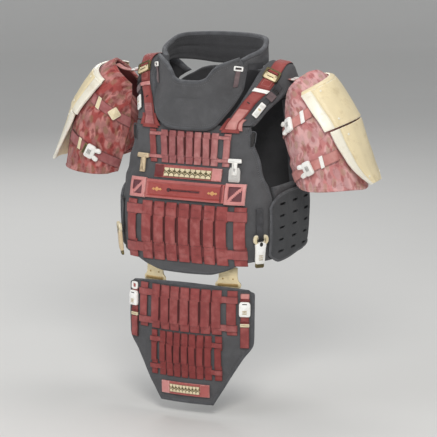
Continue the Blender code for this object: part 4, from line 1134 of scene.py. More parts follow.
def web_row(name, surface, centres, width, low, high, tapes, tape_w, half):
    face = {"front": front, "apron": apron}[surface]
    looks, pale, swell = ROW_LOOKS[name]
    s = Piece(name)
    xs = sorted({k * c for c in centres for k in (-1, 1)})
    width *= swell
    fan = 0.035 if name == "chest_row" else 0.0
    inner = centres[-2] + width * 0.4
    # painted shade: a dark backing sheet and darker copies of the sunk tapes behind the inner straps
    s.shell(span(face, -inner, inner, low + 5, high - 4), stations(2 * inner, 6), stations(high - low - 9, 6), GAP - 0.5, GAP + 0.5,
            (WEB_SHADE_BACKING, WEB_SHADE_BACKING, WEB_SHADE_BACKING), soft=(0.6, 0.6, 0.6, 0.6))
    for t in tapes:
        s.shell(span(face, -inner + 3, inner - 3, t - tape_w / 2, t + tape_w / 2), even(40), RIBBON, GAP + 0.2, GAP + 1.3, (WEB_UNDER_SHADED, WEB_UNDER_SHADED, WEB_UNDER_SHADED),
                soft=(0.5, 0.5, 0.8, 0.8), bound=(0, 0, 1, 1), measure=False)
        for k in (1, -1):
            s.shell(span(face, *sorted((k * (inner - 5), k * (xs[-1] + width / 2 + 1.6))), t - tape_w / 2, t + tape_w / 2), even(26), RIBBON, GAP - 0.4,
                    lambda p, d: GAP + 2.8 + 3.6 * smooth(xs[-1] - width / 2 - 4, xs[-1] - width / 2 + 2, abs(p.x)),
                    (pale, pale, pale), soft=(1, 1, 1, 1), bound=(0, 0, 1, 1), out=lambda p, d, c, r: uneven(p, 0.6, 14, 1), measure=False)
    for i, x in enumerate(xs):
        look = looks[min(len(looks) - 1, i * len(looks) // len(xs))]
        for j, (z0, z1) in enumerate(SEGMENTS[name]):
            jig = [1.0, -1.2, 0.8][j] * min(1.0, width / 24) + 0.7 * noise.noise(Vector((i * 1.7, j * 2.3, len(name))))
            wid = width * (1.0, 0.96, 1.02)[j]
            lift = (3.4, 4.2, 2.6)[j]

            def at(c, r, z0=z0, z1=z1, x=x, jig=jig, wid=wid):
                z = z0 + (z1 - z0) * r
                lean = x * fan * (z - low) / (high - low) + jig + 0.5 * sin(r * 3 + x)
                return face(x + lean + wid * (c - 0.5), z)

            def out(p, d, c, r, i=i):
                # woven over the tapes, sunk between them, a little crowned across
                over = sum(exp(-((p.z - t) / (tape_w * 0.55)) ** 2) for t in tapes)
                return 1.2 * over - 0.4 + uneven(p, 0.6, 14, i) - 0.9 * (2 * abs(c - 0.5)) ** 3

            s.shell(at, RIBBON, stations(z1 - z0, 4.5, (0, 0.7, 2.0)), GAP - 0.6, lift + GAP, (look, look, look), soft=(1.6, 1.6, 1.8, 1.8),
                    out=out, measure=False)
        # bar tacks over each tape
        for t in tapes:
            j = 0 if t > SEGMENTS[name][0][0] else 1 if t > SEGMENTS[name][2][1] else 2
            for dz in (-tape_w * 0.34, tape_w * 0.34):
                pts = [(lambda q: q[0] + q[1] * (GAP + (3.4, 4.2, 2.6)[j] + 1.0))(face(x + u * width * 0.28 + x * fan * (t - low) / (high - low), t + dz))
                       for u in (-1, -0.5, 0, 0.5, 1)]
                s.tube(pts, 0.5, pale, 1, 5)
    s.make([name], sheet=("stretched", ["front_carrier" if surface == "front" else "apron"]))
    print("ROW", name, "straps", len(xs), "x", round(width, 1), "x", round(high - low, 1), "tapes", len(tapes), "x", tape_w, "x", 2 * half)


# ---------------------------------------------------------------- straps over the shoulders
ROUTE = [("front", 240.5, 109, 21), ("front", 252, 111, 18), ("yoke", 0.25, 1.06, 0.60), ("yoke", 0.6, 1.0, 0.60),
         ("yoke", 1.0, 0.92, 0.62), ("yoke", 1.5, 0.92, 0.62), ("yoke", 2.0, 0.94, 0.62), ("yoke", 2.5, 1.05, 0.61),
         ("yoke", 3.0, 1.2, 0.60), ("yoke", 3.5, 1.3, 0.58), ("yoke", 4.0, 1.36, 0.54), ("yoke", 4.5, 1.36, 0.5),
         ("yoke", 5.0, 1.3, 0.5), ("yoke", 5.6, 1.26, 0.5), ("yoke", 6.2, 1.2, 0.5), ("yoke", 6.9, 1.1, 0.5), ("yoke", 7.6, 1.0, 0.5)]
ROUTE_CACHE = {}


def route(c, r):
    """c 0..1 across the strap, r 0..16 along ROUTE."""
    key = round(c, 4)
    if key not in ROUTE_CACHE:
        col = []
        for kind, along, mid, half in ROUTE:
            col.append(front(mid + half * (2 * c - 1), along) if kind == "front" else yoke(mid + half * (2 * c - 1), along))
        ROUTE_CACHE[key] = ([p for p, n in col], [n for p, n in col])
    ps, ns = ROUTE_CACHE[key]
    return catmull(ps, r), catmull(ns, r).normalized()


def strap_part(s, r0, r1, low, high, look, side, wide=0.0, shift=0.0, ripple=0.4, end=1.4):
    at = lambda c, r: route(0.5 + (c - 0.5) * (1 + wide) + shift, r0 + (r1 - r0) * r)
    s.shell(at, RIBBON, stations(max(10, abs(r1 - r0) * 24), 5, (0, 0.8, 2.2)), low, high, (look, look, look), side,
            soft=(1.0, 1.0, end, end), out=lambda p, d, c, r: uneven(p, ripple, 16, side) - 0.6 * (2 * abs(c - 0.5)) ** 4, measure=False)


def shoulder_straps():
    for side, name in both("shoulder_strap"):
        s = Piece(name)
        base = GAP + 0.6
        at = lambda c, r: route(c, 16 * r)
        s.shell(at, RIBBON, stations(400, 6), base, base + WEB_T, (WEB_STRAP, WEB_STRAP, WEB_DARK), side, soft=(1, 1, 1, 1),
                out=lambda p, d, c, r: uneven(p, 0.5, 18, side) - 0.5 * (2 * abs(c - 0.5)) ** 4)
        top = base + WEB_T
        # padded end in pale webbing on the wearer's left and darker chest webbing on the right: partly painted light
        # and painted shade
        strap_part(s, 0.35, 4.95, top - 0.5, top + 2.2, WEB_PINK if side > 0 else WEB_CHEST, side, wide=-0.22)       # padded end
        strap_part(s, 4.85, 7.35, top - 0.5, top + 1.9, WEB_STRAP, side, wide=-0.12)
        strap_part(s, 7.5, 7.95, top - 0.5, top + 3.4, WHITE_HARD if side > 0 else PINK_HARD, side, wide=0.1, end=1.6, ripple=0.1)   # keeper
        strap_part(s, 8.1, 9.35, top - 0.5, top + 2.0, WEB_STRAP, side, wide=-0.2)
        strap_part(s, 0.02, 0.9, base - 0.4, top + 2.6, WEB_STRAP, side, wide=0.12)                               # chest anchor
        # side plates of the flared end; on the wearer's right the pale plate takes the red strap webbing: partly
        # painted shade
        for q, look in ((0.62, WEB_PINK), (-0.6, WEB_STRAP)):
            strap_part(s, 0.5, 3.1, base - 0.6, base + 3.4, look if side > 0 else WEB_STRAP, side, wide=-0.72, shift=q, end=2.5)
        # stitched boxes and a small release slot, whose black insert is painted shade
        p, n = route(0.5, 5.9)
        up = route(0.5, 6.4)[0] - route(0.5, 5.4)[0]
        s.slab([(-4, -1.4), (4, -1.4), (4, 1.4), (-4, 1.4)], 1.2, pose_of(p, n, up, side, top + 1.6), BLACK_HARD, 0.4, soft=1)
        for r0, r1 in ((1.1, 2.1), (3.6, 4.5), (8.4, 9.0), (13.8, 15.4)):
            box = [route(c, r) for c, r in ((0.2, r0), (0.8, r0), (0.8, r1), (0.2, r1))]
            lift = top + (2.3 if r0 < 9 else 0.4)
            ring_pts = [p + n * lift for p, n in box]
            line = []
            for i in range(4):
                a, b = box[i], box[(i + 1) % 4]
                for k in range(6):
                    c0 = (0.2, 0.8, 0.8, 0.2)[i] + ((0.2, 0.8, 0.8, 0.2)[(i + 1) % 4] - (0.2, 0.8, 0.8, 0.2)[i]) * k / 6
                    rr = (r0, r0, r1, r1)[i] + ((r0, r0, r1, r1)[(i + 1) % 4] - (r0, r0, r1, r1)[i]) * k / 6
                    q = route(round(c0, 3), rr)
                    line.append(q[0] + q[1] * (lift - 0.1))
            s.tube(line, 0.4, WEB_PINK, side, 5, True)
        ob = s.make([name], sheet=("stretched", ["shoulder_yoke" + name[-2:]]))
    for side, name in both("shoulder_buckle"):
        s = Piece(name)
        p, n = yoke(1.35, 3.82)
        up = yoke_point(1.35, 4.1) - yoke_point(1.35, 3.54)
        pose = pose_of(p, n, up, side, GAP + WEB_T + 1.6)
        s.ring(soften([(-20, -15), (20, -15), (20, 15), (-20, 15)], 5, 5), soften([(-14.5, -10), (14.5, -10), (14.5, 10), (-14.5, 10)], 3, 5), 6.0, pose, OLIVE_HARD, 1.4)
        s.slab([(-15.5, -15), (15.5, -15), (17, -11), (15, 1.5), (-15, 1.5), (-17, -11)], 5.2, pose, GOLD_HARD, 1.2, z0=2.2, crown=0.6, soft=3)
        s.slab([(-13, 4), (13, 4), (12, 15.5), (-12, 15.5)], 3.0, pose, WEB_STRAP, 0.9, z0=1.8, crown=0.4, soft=2)
        s.slab([(-9, -8.5), (9, -8.5), (9, -6.5), (-9, -6.5)], 1.2, pose, OLIVE_HARD, 0.4, z0=7.2)
        for x in (-12.5, 12.5):
            s.slab([(x + 1.8 * cos(a), -2 + 1.8 * sin(a)) for a in [k * pi / 5 for k in range(10)]], 1.3, pose, OLIVE_HARD, 0.5, z0=7.0)
        s.make([name])


def tab_straps():
    for side, name in both("tab_strap"):
        pts = [(1.15, 2.28), (1.6, 2.22), (2.1, 2.2), (2.6, 2.22), (3.1, 2.24), (3.6, 2.24)]
        def at(c, r):
            a = 1.15 + 2.45 * r
            return yoke(table(TAB_LINE, a, 1) + 0.28 * (2 * c - 1), a)
        s = Piece(name)
        s.shell(at, RIBBON, stations(88, 4.5), GAP - 0.4, GAP + WEB_T, (WEB_DARK, WEB_DARK, WEB_DARK), side, soft=(1, 1, 1, 1),
                out=lambda p, d, c, r: 0.8 * sin(r * 9) * (1 - r) + uneven(p, 0.4, 14, side))
        s.make([name], sheet=("stretched", ["shoulder_yoke" + name[-2:]]))
        e = Piece("tab_keeper" + name[-2:])
        up = yoke_point(2.24, 3.2) - yoke_point(2.24, 2.4)
        for a, look, h in ((2.72, WEB_GREY, 10), (3.15, BLACK_HARD, 3)):
            p, n = yoke(2.22, a)
            e.slab([(-10, -h), (10, -h), (10, h), (-10, h)], 3.0, pose_of(p, n, up, side, GAP + WEB_T - 0.6), look, 1.0, soft=2)
        ob = e.make([])
    for side, name in both("adjuster_tab"):
        p, n = yoke(2.2, 1.55)
        up = yoke_point(2.2, 2.0) - yoke_point(2.2, 1.1)
        pose = pose_of(p, n, up, side, GAP + WEB_T + 0.8)
        s = Piece(name)
        s.slab([(-7.5, -20), (7.5, -20), (7.5, 21), (-7.5, 21)], 3.8, pose, WHITE_HARD, 1.1, crown=0.5, soft=2.5)
        for y in (-14, -10.5, -7, 10, 13.5):
            s.slab([(-5.5, y - 0.7), (5.5, y - 0.7), (5.5, y + 0.7), (-5.5, y + 0.7)], 0.9, pose, WHITE_HARD, 0.35, z0=4.0)
        s.slab([(-4, -1), (4, -1), (4, 4), (-4, 4)], 0.7, pose, CREAM_HARD, 0.3, z0=4.0, soft=1)
        s.make([name])


TAB_LINE = [(1.15, 2.28), (1.6, 2.22), (2.1, 2.2), (2.6, 2.22), (3.1, 2.24), (3.6, 2.24)]


# ---------------------------------------------------------------- chest trim
def strip(name, surface, half, z0, z1, lace_half, lace_name, lz0, lz1, ends, teeth):
    """Sewn-on strip: end blocks, a raised border, and two rows of small wedges with a zigzag cord between them."""
    s = Piece(name)
    hard = (RED_HARD, RED_HARD, RED_DARK)
    zc, zh = (z0 + z1) / 2, (z1 - z0) / 2
    s.shell(span(surface, -half, half, z0, z1), stations(2 * half, 6), stations(z1 - z0, 4), GAP - 0.4, GAP + 2.6, hard, soft=(1.2, 1.2, 1.2, 1.2))
    left, right = ends
    for x0, x1, look in ((-half + 1, -lace_half - 2, left), (lace_half + 2, half - 1, right)):
        s.shell(span(surface, x0, x1, z0 + 1, z1 - 1), stations(abs(x1 - x0), 4, (0, 1, 2.5)), stations(z1 - z0 - 2, 4, (0, 1, 2.5)), GAP + 1.6, GAP + 4.6,
                (look, look, look), soft=(1.2, 1.2, 1.2, 1.2), measure=False,
                out=lambda p, d, c, r: -0.8 * smooth(2.0, 3.4, d))
    for z in (z0 + 1.6, z1 - 1.6):
        s.tube([(lambda q: q[0] + q[1] * (GAP + 2.8))(surface(x, z)) for x in [-lace_half + 2 * lace_half * i / 20 for i in range(21)]], 1.2, RED_HARD, 1, 6)
    s.make([name])
    s = Piece(lace_name)
    s.shell(span(surface, -lace_half, lace_half, lz0, lz1), stations(2 * lace_half, 6), stations(lz1 - lz0, 4, (0, 1)), GAP + 2.4, GAP + 4.2,
            (OLIVE_HARD, OLIVE_HARD, OLIVE_HARD), soft=(1, 1, 1, 1))
    pitch = 2 * lace_half / teeth
    mid, hh = (lz0 + lz1) / 2, (lz1 - lz0) / 2
    for i in range(teeth):
        x = -lace_half + pitch * (i + 0.5)
        for way in (1, -1):
            p, n = surface(x, mid)
            pose = pose_of(p, n, Vector((0, 0, 1)), 1, GAP + 3.6)
            tri = [(-pitch * 0.44, way * hh * 0.95), (-pitch * 0.40, way * hh * 0.50), (0, way * hh * 0.16), (pitch * 0.40, way * hh * 0.50), (pitch * 0.44, way * hh * 0.95)]
            tri = tri if sum(tri[k - 1][0] * tri[k][1] - tri[k][0] * tri[k - 1][1] for k in range(5)) > 0 else list(reversed(tri))
            s.slab(tri, 2.2, pose, CREAM_HARD, 0.6, crown=0.3)
    zig = []
    for i in range(teeth * 2 + 1):
        x = -lace_half + pitch * 0.5 * i
        zig.append((lambda q: q[0] + q[1] * (GAP + 4.4))(surface(max(-lace_half, min(lace_half, x)), mid + (hh * 0.3 if i % 2 else -hh * 0.3))))
    s.tube(zig, 0.9, CREAM_HARD, 1, 6)
    s.make([lace_name])


def chest_trim():
    strip("chest_strip", front, 92, 120.5, 152, 65, "chest_lacing", 123.5, 145, (RED_DARK, PINK_HARD), 9)
    s = Piece("chest_bar")

    def out(p, d, c, r):
        h = 0.0
        if abs(p.z - 92.5) < 15.5:                      # sunk panel between the two ridges
            h -= 3.4 * smooth(15.5, 13.5, abs(p.z - 92.5)) * smooth(103, 100, abs(p.x))
        if abs(p.z - 92.5) < 3.2 and -46 < p.x < 42:    # dark groove
            h -= 2.0
        return h

    zs = sorted({0.0, 0.02, 0.05, 0.1, 0.14, 0.16, 0.2, 0.28, 0.36, 0.415, 0.43, 0.5, 0.57, 0.585, 0.64, 0.72, 0.8, 0.84, 0.86, 0.9, 0.95, 0.98, 1.0})
    s.shell(span(front, -107, 107, 71, 114), stations(214, 4), zs, GAP - 0.4, GAP + 8.6, (RED_HARD, RED_HARD, RED_DARK), soft=(1.5, 1.5, 1.6, 1.6), out=out)
    # the sunk panel's faces take the darker red: painted shade
    panel = s.mat(RED_PANEL_SHADED)
    for k, f in enumerate(s.f):
        mid = sum((s.v[v] for v in f), Vector()) / len(f) / MM
        if s.m[k] == 0 and abs(mid.z + SHOULDER_Z - 92.5) < 14.5 and abs(mid.x) < 101:
            s.m[k] = panel
    # painted shade: a dark shell laid in the sunk groove and a dark disc in its round hole
    groove = lambda c, r: front(-44 + 84 * c, 90.6 + 3.8 * r)
    s.shell(groove, even(24), even(3), GAP + 3.0, GAP + 4.0, (GROOVE_SHADE, GROOVE_SHADE, GROOVE_SHADE), soft=(1, 1, 0.6, 0.6), measure=False)
    p, n = front(-44, 92.5)
    disc = [(5.2 * cos(a), 5.2 * sin(a)) for a in [k * pi / 8 for k in range(16)]]
    s.slab(disc, 2.0, pose_of(p, n, Vector((0, 0, 1)), 1, GAP + 4.4), GROOVE_SHADE, 0.6, crown=-0.3)
    band_at = lambda c, r: front(96 + 7 * c, 72 + 41 * r)
    s.shell(band_at, even(3), stations(41, 4, (0, 1)), GAP + 5, GAP + 9.6, (RED_DARK, RED_DARK, RED_DARK), soft=(1, 1, 1, 1), measure=False)
    for x in (-76, 76):                                 # plain lozenges, one large between two small
        p, n = front(x, 92.5)
        pose = pose_of(p, n, Vector((0, 0, 1)), 1, GAP + 5.0)
        for dx, w, h in ((0, 7.6, 6.0), (-9.5, 4.2, 3.4), (9.5, 4.2, 3.4)):
            s.slab([(dx - w, 0), (dx, -h), (dx + w, 0), (dx, h)], 1.5, pose, GOLD_SOFT, 0.5, crown=0.3)
    s.make(["chest_bar"])
    for side, name in both("bar_end"):
        s = Piece(name)
        xs, zz = stations(49, 3.1, (0, 1, 2.2, 7.6, 9.0, 10.6)), stations(49, 3.1, (0, 1, 2.2, 7.6, 9.0, 10.6))

        def out(p, d, c, r):
            if d < 7.8:
                return 0.0
            u, v = (c - 0.5) * 2, (r - 0.5) * 2
            if side < 0:
                u = -u
            sink = 4.6 * smooth(7.8, 10.0, d)
            ridge = exp(-((v - u) / 0.16) ** 2) * 2.6 * smooth(7.8, 11, d)
            corner = 1.2 * smooth(0.35, 0.7, abs(v - u))
            return -sink + ridge - corner * 0.4
        s.shell(span(front, 108.4, 157.5 if side > 0 else 151.0, 68 if side > 0 else 69.5, 117 if side > 0 else 116), xs, zz, GAP - 0.4, GAP + 11.2, (PINK_HARD, PINK_HARD, RED_DARK), side, soft=(2, 2, 2, 2), out=out)
        # painted shade: the sunk middle takes a darker material, with its raised diagonal left light
        m = s.mat(MAUVE_SHADED)
        for k, f in enumerate(s.f):
            e = sum(s.edge[v] for v in f) / len(f)
            if s.m[k] == 0 and e > 8.8:
                u = sum(s.uv[v][0] for v in f) / len(f) / 0.0245
                v = (sum(s.uv[v][1] for v in f) / len(f) - 0.0245) / 0.0245
                if side < 0:
                    u = -u
                if abs(v - u) > 0.2:
                    s.m[k] = m
        s.make([name])
    for side, name in both("chest_clip"):
        s = Piece(name)
        if side > 0:
            p, n = front(124, 147)
            pose = pose_of(p, n, Vector((0, 0, 1)), side, 1.8)
            s.slab([(-13, -26), (13, -26), (14.5, -22), (14.5, 2), (11, 10), (-11, 10), (-14.5, 2), (-14.5, -22)], 5.0, pose, GREY_HARD, 1.3, crown=0.4, soft=2)
            s.slab([(-10, -22), (10, -22), (10, -13), (-10, -13)], 1.2, pose, GREY_HARD, 0.5, z0=5.0, crown=0.3, soft=2)
            s.slab([(-6, -9), (6, -9), (7, 24), (-7, 24)], 4.0, pose, WHITE_HARD, 1.2, z0=3.4, crown=0.4, soft=1.5)
            s.slab([(-16.5, 20.5), (16.5, 20.5), (17.5, 24), (16, 31), (-16, 31), (-17.5, 24)], 7.0, pose, WHITE_HARD, 1.6, z0=1.2, crown=0.5, soft=2)
            for y in (2, 6):
                s.slab([(-4, y - 0.6), (4, y - 0.6), (4, y + 0.6), (-4, y + 0.6)], 0.9, pose, GREY_HARD, 0.3, z0=7.3)
        else:
            p, n = front(128, 146)
            pose = pose_of(p, n, Vector((0, 0, 1)), side, 1.8)
            s.slab([(-7.5, -17), (7.5, -17), (7, 22), (-7, 22)], 5.4, pose, TAN_HARD, 1.4, crown=0.5, soft=1.5)
            s.slab([(-16.5, 18.5), (16.5, 18.5), (17.5, 22), (16, 30), (-16, 30), (-17.5, 22)], 7.4, pose, TAN_HARD, 1.6, crown=0.5, soft=2)
            for y in (-10, -6):
                s.slab([(-4.5, y - 0.7), (4.5, y - 0.7), (4.5, y + 0.7), (-4.5, y + 0.7)], 0.9, pose, TAN_HARD, 0.3, z0=5.8)
        s.make([name])


def side_buckles():
    for side, name in both("waist_buckle_strap"):
        at = lambda c, r: ring(53.3 + 4.6 * c, -16 + 76 * r)
        s = Piece(name)
        s.shell(at, RIBBON, stations(74, 4.5), 1.2, 2.0 + WEB_T, (WEB_DARK, WEB_DARK, WEB_DARK), side, soft=(1, 1, 1.5, 1.5),
                out=lambda p, d, c, r: 3.4 * exp(-((r - 0.97) / 0.07) ** 2) + 1.0 * sin(r * 7) + uneven(p, 0.4, 12, side))
        s.make([name], sheet=("stretched", ["side_band" + name[-2:]]))
    for side, name in both("waist_buckle"):
        s = Piece(name)
        p, n = ring(55.6, -46)
        pose = pose_of(p, n, Vector((0, 0, 1)), side, 5.6 if side > 0 else 8.0)
        look = WHITE_HARD if side > 0 else TAN_HARD
        body = [(-11, -28), (11, -28), (12.5, -20), (13, 8), (15, 22), (11, 27), (-11, 27), (-15, 22), (-13, 8), (-12.5, -20)]
        s.slab(body, 8.0, pose, look, 2.0, crown=0.7, soft=4)
        for k in (1, -1):      # the two prongs of the male half
            prong = [(k * 5, 23), (k * 14, 21), (k * 19.5, 28), (k * 19.5, 37), (k * 16, 44), (k * 9, 45), (k * 8, 38), (k * 10, 31)]
            prong = prong if k > 0 else list(reversed(prong))
            s.slab(prong, 7.6, pose, CREAM_HARD, 1.4, crown=0.3, soft=2.4)
        s.slab([(-6, 30), (6, 30), (6, 36), (-6, 36)], 4.0, pose, BLACK_HARD, 0.8, soft=1)
        s.slab([(-4.4, 19), (0, 16), (4.4, 19), (4.4, 25), (0, 28), (-4.4, 25)], 1.2, pose, BLACK_HARD, 0.4, z0=7.6, soft=1.5)
        s.slab([(-7, -22), (7, -22), (8.5, 8), (-8.5, 8)], 1.2, pose, look, 0.5, z0=7.9, crown=0.4, soft=2)
        for y in (-16, -11, -6):
            s.slab([(-6, y - 0.7), (6, y - 0.7), (6, y + 0.7), (-6, y + 0.7)], 0.8, pose, CREAM_HARD, 0.3, z0=9.2)
        s.slab([(-10, -38), (10, -38), (11.5, -34), (11, -26), (-11, -26), (-11.5, -34)], 5.6, pose, OLIVE_HARD, 1.2, z0=0.6, soft=2)
        s.make([name])


# ---------------------------------------------------------------- apron
APRON_FOLDS = [(-165, -170, -150, -260, 10, -1.6), (168, -180, 150, -300, 12, 1.8), (150, -290, 110, -380, 10, -2.0), (-150, -310, -108, -370, 9, -1.8),
               (-90, -400, 30, -432, 9, -1.4), (120, -330, 92, -400, 8, 1.6), (-130, -330, -100, -400, 8, 1.4), (40, -428, 90, -400, 8, -1.2),
               (-120, -142, 120, -140, 9, -1.0)]


def apron_pieces():
    def at(c, r):
        z = -134 - 306 * r
        half = table(APRON, z, 1)
        x = (2 * c - 1) * half
        return apron(x, z - 10 * (2 * c - 1) ** 2 * (1 - smooth(-134, -156, z)))
    s = Piece("apron")
    s.shell(at, stations(350, 6.0), stations(306, 6.0), -APRON_T, 0, (CLOTH, BINDING, CLOTH), soft=(4, 4, 5, 4), bind=8.0,
            out=lambda p, d, c, r: soft_fold((p.x, p.z), APRON_FOLDS, 3.0) + uneven(p, 0.9, 40, 8) + uneven(p, 0.3, 14, 1),
            inn=lambda p, d, c, r: uneven(p, 0.8, 40, 6))
    s.make(["apron"], pad=0.6)
    strip("apron_strip", apron, 66, -419, -387, 41, "apron_lacing", -413, -393, (PINK_HARD, RED_HARD), 9)
    for side, name in both("apron_strap"):
        s = Piece(name)
        at = lambda c, r: apron(142 + 20 * c, -288 + 136 * r)
        s.shell(at, RIBBON, stations(136, 4.5), GAP - 0.4, GAP + WEB_T, (WEB_APRON, WEB_APRON, WEB_APRON), side, soft=(1, 1, 1.5, 1.5),
                out=lambda p, d, c, r: uneven(p, 0.5, 14, side))
        tail = lambda c, r: apron(141.5 + 21 * c, -288 + 52 * r)
        s.shell(tail, RIBBON, stations(52, 4, (0, 1, 3)), GAP + 1, GAP + WEB_T + 2.6, (WEB_APRON, WEB_CHEST, WEB_APRON), side, soft=(1.4, 1.4, 3, 2),
                out=lambda p, d, c, r: 0.6 * sin(r * 11), measure=False)
        for z, h, look in ((-231, 4.0, CREAM_HARD), (-222, 2.2, RED_DARK)):
            p, n = apron(152, z)
            s.slab([(-11.5, -h), (11.5, -h), (11.5, h), (-11.5, h)], 4.2, pose_of(p, n, Vector((0, 0, 1)), side, GAP + 1.0), look, 1.1, soft=1.5)
        p, n = apron(152, -159)
        pose = pose_of(p, n, Vector((0, 0, 1)), side, GAP + 1.0)
        if side > 0:
            s.slab([(-11, -6), (11, -6), (11, 7), (-11, 7)], 4.2, pose, WEB_PINK, 1.2, soft=3)
            s.slab([(-12, -13), (12, -13), (12, -8), (-12, -8)], 3.2, pose, RED_DARK, 1.0, soft=1.5)
        else:
            s.ring(soften([(-11, -10), (11, -10), (11, 9), (-11, 9)], 6, 5), soften([(-5, -5), (5, -5), (5, 4.5), (-5, 4.5)], 2.5, 5), 4.4, pose, WHITE_HARD)
            s.slab([(-5, -5), (5, -5), (5, 5), (-5, 5)], 2.6, pose, RED_HARD, 0.8, soft=2)
        s.make([name], sheet=("stretched", ["apron"]))
    for side, name in both("apron_buckle"):
        s = Piece(name)
        p, n = apron(152, -190)
        pose = pose_of(p, n, Vector((0, 0, 1)), side, GAP + WEB_T)
        s.slab([(-12, -19), (12, -19), (14, -15), (14, 12), (10.5, 18), (-10.5, 18), (-14, 12), (-14, -15)], 7.4, pose, WHITE_HARD, 1.8, crown=0.6, soft=3)
        s.slab([(-8, -14), (8, -14), (8, 8), (-8, 8)], 1.0, pose, WHITE_HARD, 0.5, z0=7.4, crown=0.3, soft=2)
        for y in (-11, -7.5, -4):
            s.slab([(-6, y - 0.6), (6, y - 0.6), (6, y + 0.6), (-6, y + 0.6)], 0.8, pose, CREAM_HARD, 0.3, z0=8.2)
        s.slab([(-6, 11.5), (6, 11.5), (6, 14), (-6, 14)], 0.8, pose, BLACK_HARD, 0.3, z0=7.3)
        s.make([name])
    for side, name in both("apron_clip"):
        s = Piece(name)
        pose = pose_of(Vector((101, -122, -118)), Vector((0.18, -1, 0)), Vector((0, 0, 1)), side)
        s.slab([(-31, -26), (31, -26), (33, -21), (33, -15), (26, -8), (24, 2), (24, 26), (-24, 26), (-24, 2), (-26, -8), (-33, -15), (-33, -21)],
               5.0, pose, GOLD_HARD, 1.2, crown=0.3, soft=3)
        s.slab([(-20, 6), (20, 6), (20, 23), (-20, 23)], 1.2, pose, GOLD_HARD, 0.6, z0=4.8, crown=0.3, soft=3)
        s.slab([(-27, -22), (27, -22), (26, -15), (-26, -15)], 1.6, pose, GOLD_DEEP, 0.6, z0=4.8, crown=0.3, soft=2)
        for x in (-13, 13):
            s.slab([(x + 2.4 * cos(k * pi / 6), -3 + 2.4 * sin(k * pi / 6)) for k in range(12)], 1.4, pose, GOLD_DEEP, 0.5, z0=4.7)
        s.make([name])


# ---------------------------------------------------------------- arm protectors
# troughs and ridges on the sleeve as (angle, t) to (angle, t), width in mm, depth in mm
ARM_FOLDS = [(152, 0.63, 72, 0.585, 7, -4.2), (150, 0.70, 70, 0.655, 9, 3.4), (140, 0.02, 118, 0.30, 9, -2.6), (112, 0.08, 104, 0.5, 11, 2.4),
             (96, 0.05, 90, 0.36, 9, -2.4), (148, 0.26, 128, 0.52, 8, -2.8), (120, 0.40, 84, 0.53, 9, 2.2), (134, 0.74, 108, 0.88, 7, -2.6),
             (98, 0.76, 78, 0.96, 8, -3.0), (72, 0.80, 56, 0.98, 8, 2.4), (118, 0.80, 112, 0.96, 7, 2.2), (60, 0.72, 40, 1.0, 9, -2.6),
             (-96, 0.10, -112, 0.44, 11, -2.8), (-120, 0.30, -84, 0.58, 10, 2.4), (-150, 0.28, -128, 0.60, 10, -2.8), (-100, 0.62, -70, 0.86, 9, -2.6),
             (-176, 0.36, -160, 0.62, 9, 2.0), (-80, 0.70, -60, 0.98, 9, 2.2), (-138, 0.56, -96, 0.66, 8, -2.4), (-205, 0.3, -190, 0.6, 8, -1.6)]


# arm link: middle of its under side, direction across it, normal
ARM_LINK = [((209.6, -2, 363.5), (0.27, 0.96, 0), (0.55, -0.1, 0.85)), ((219, -3, 361.5), (0.1, 1, 0), (0.1, -0.1, 1)),
            ((236, -4, 361), (0, 1, 0), (-0.1, 0, 1)), ((256, -2, 364), (0, 1, 0), (-0.2, 0, 1)),
            ((270, 1, 369.5), (0, 1, 0), (-0.2, 0, 1)), ((278.5, 3, 372.5), (0, 1, 0), (0.3, 0, 0.95)),
            ((288, 3, 368.8), (0, 1, 0), (0.48, 0, 0.88))]


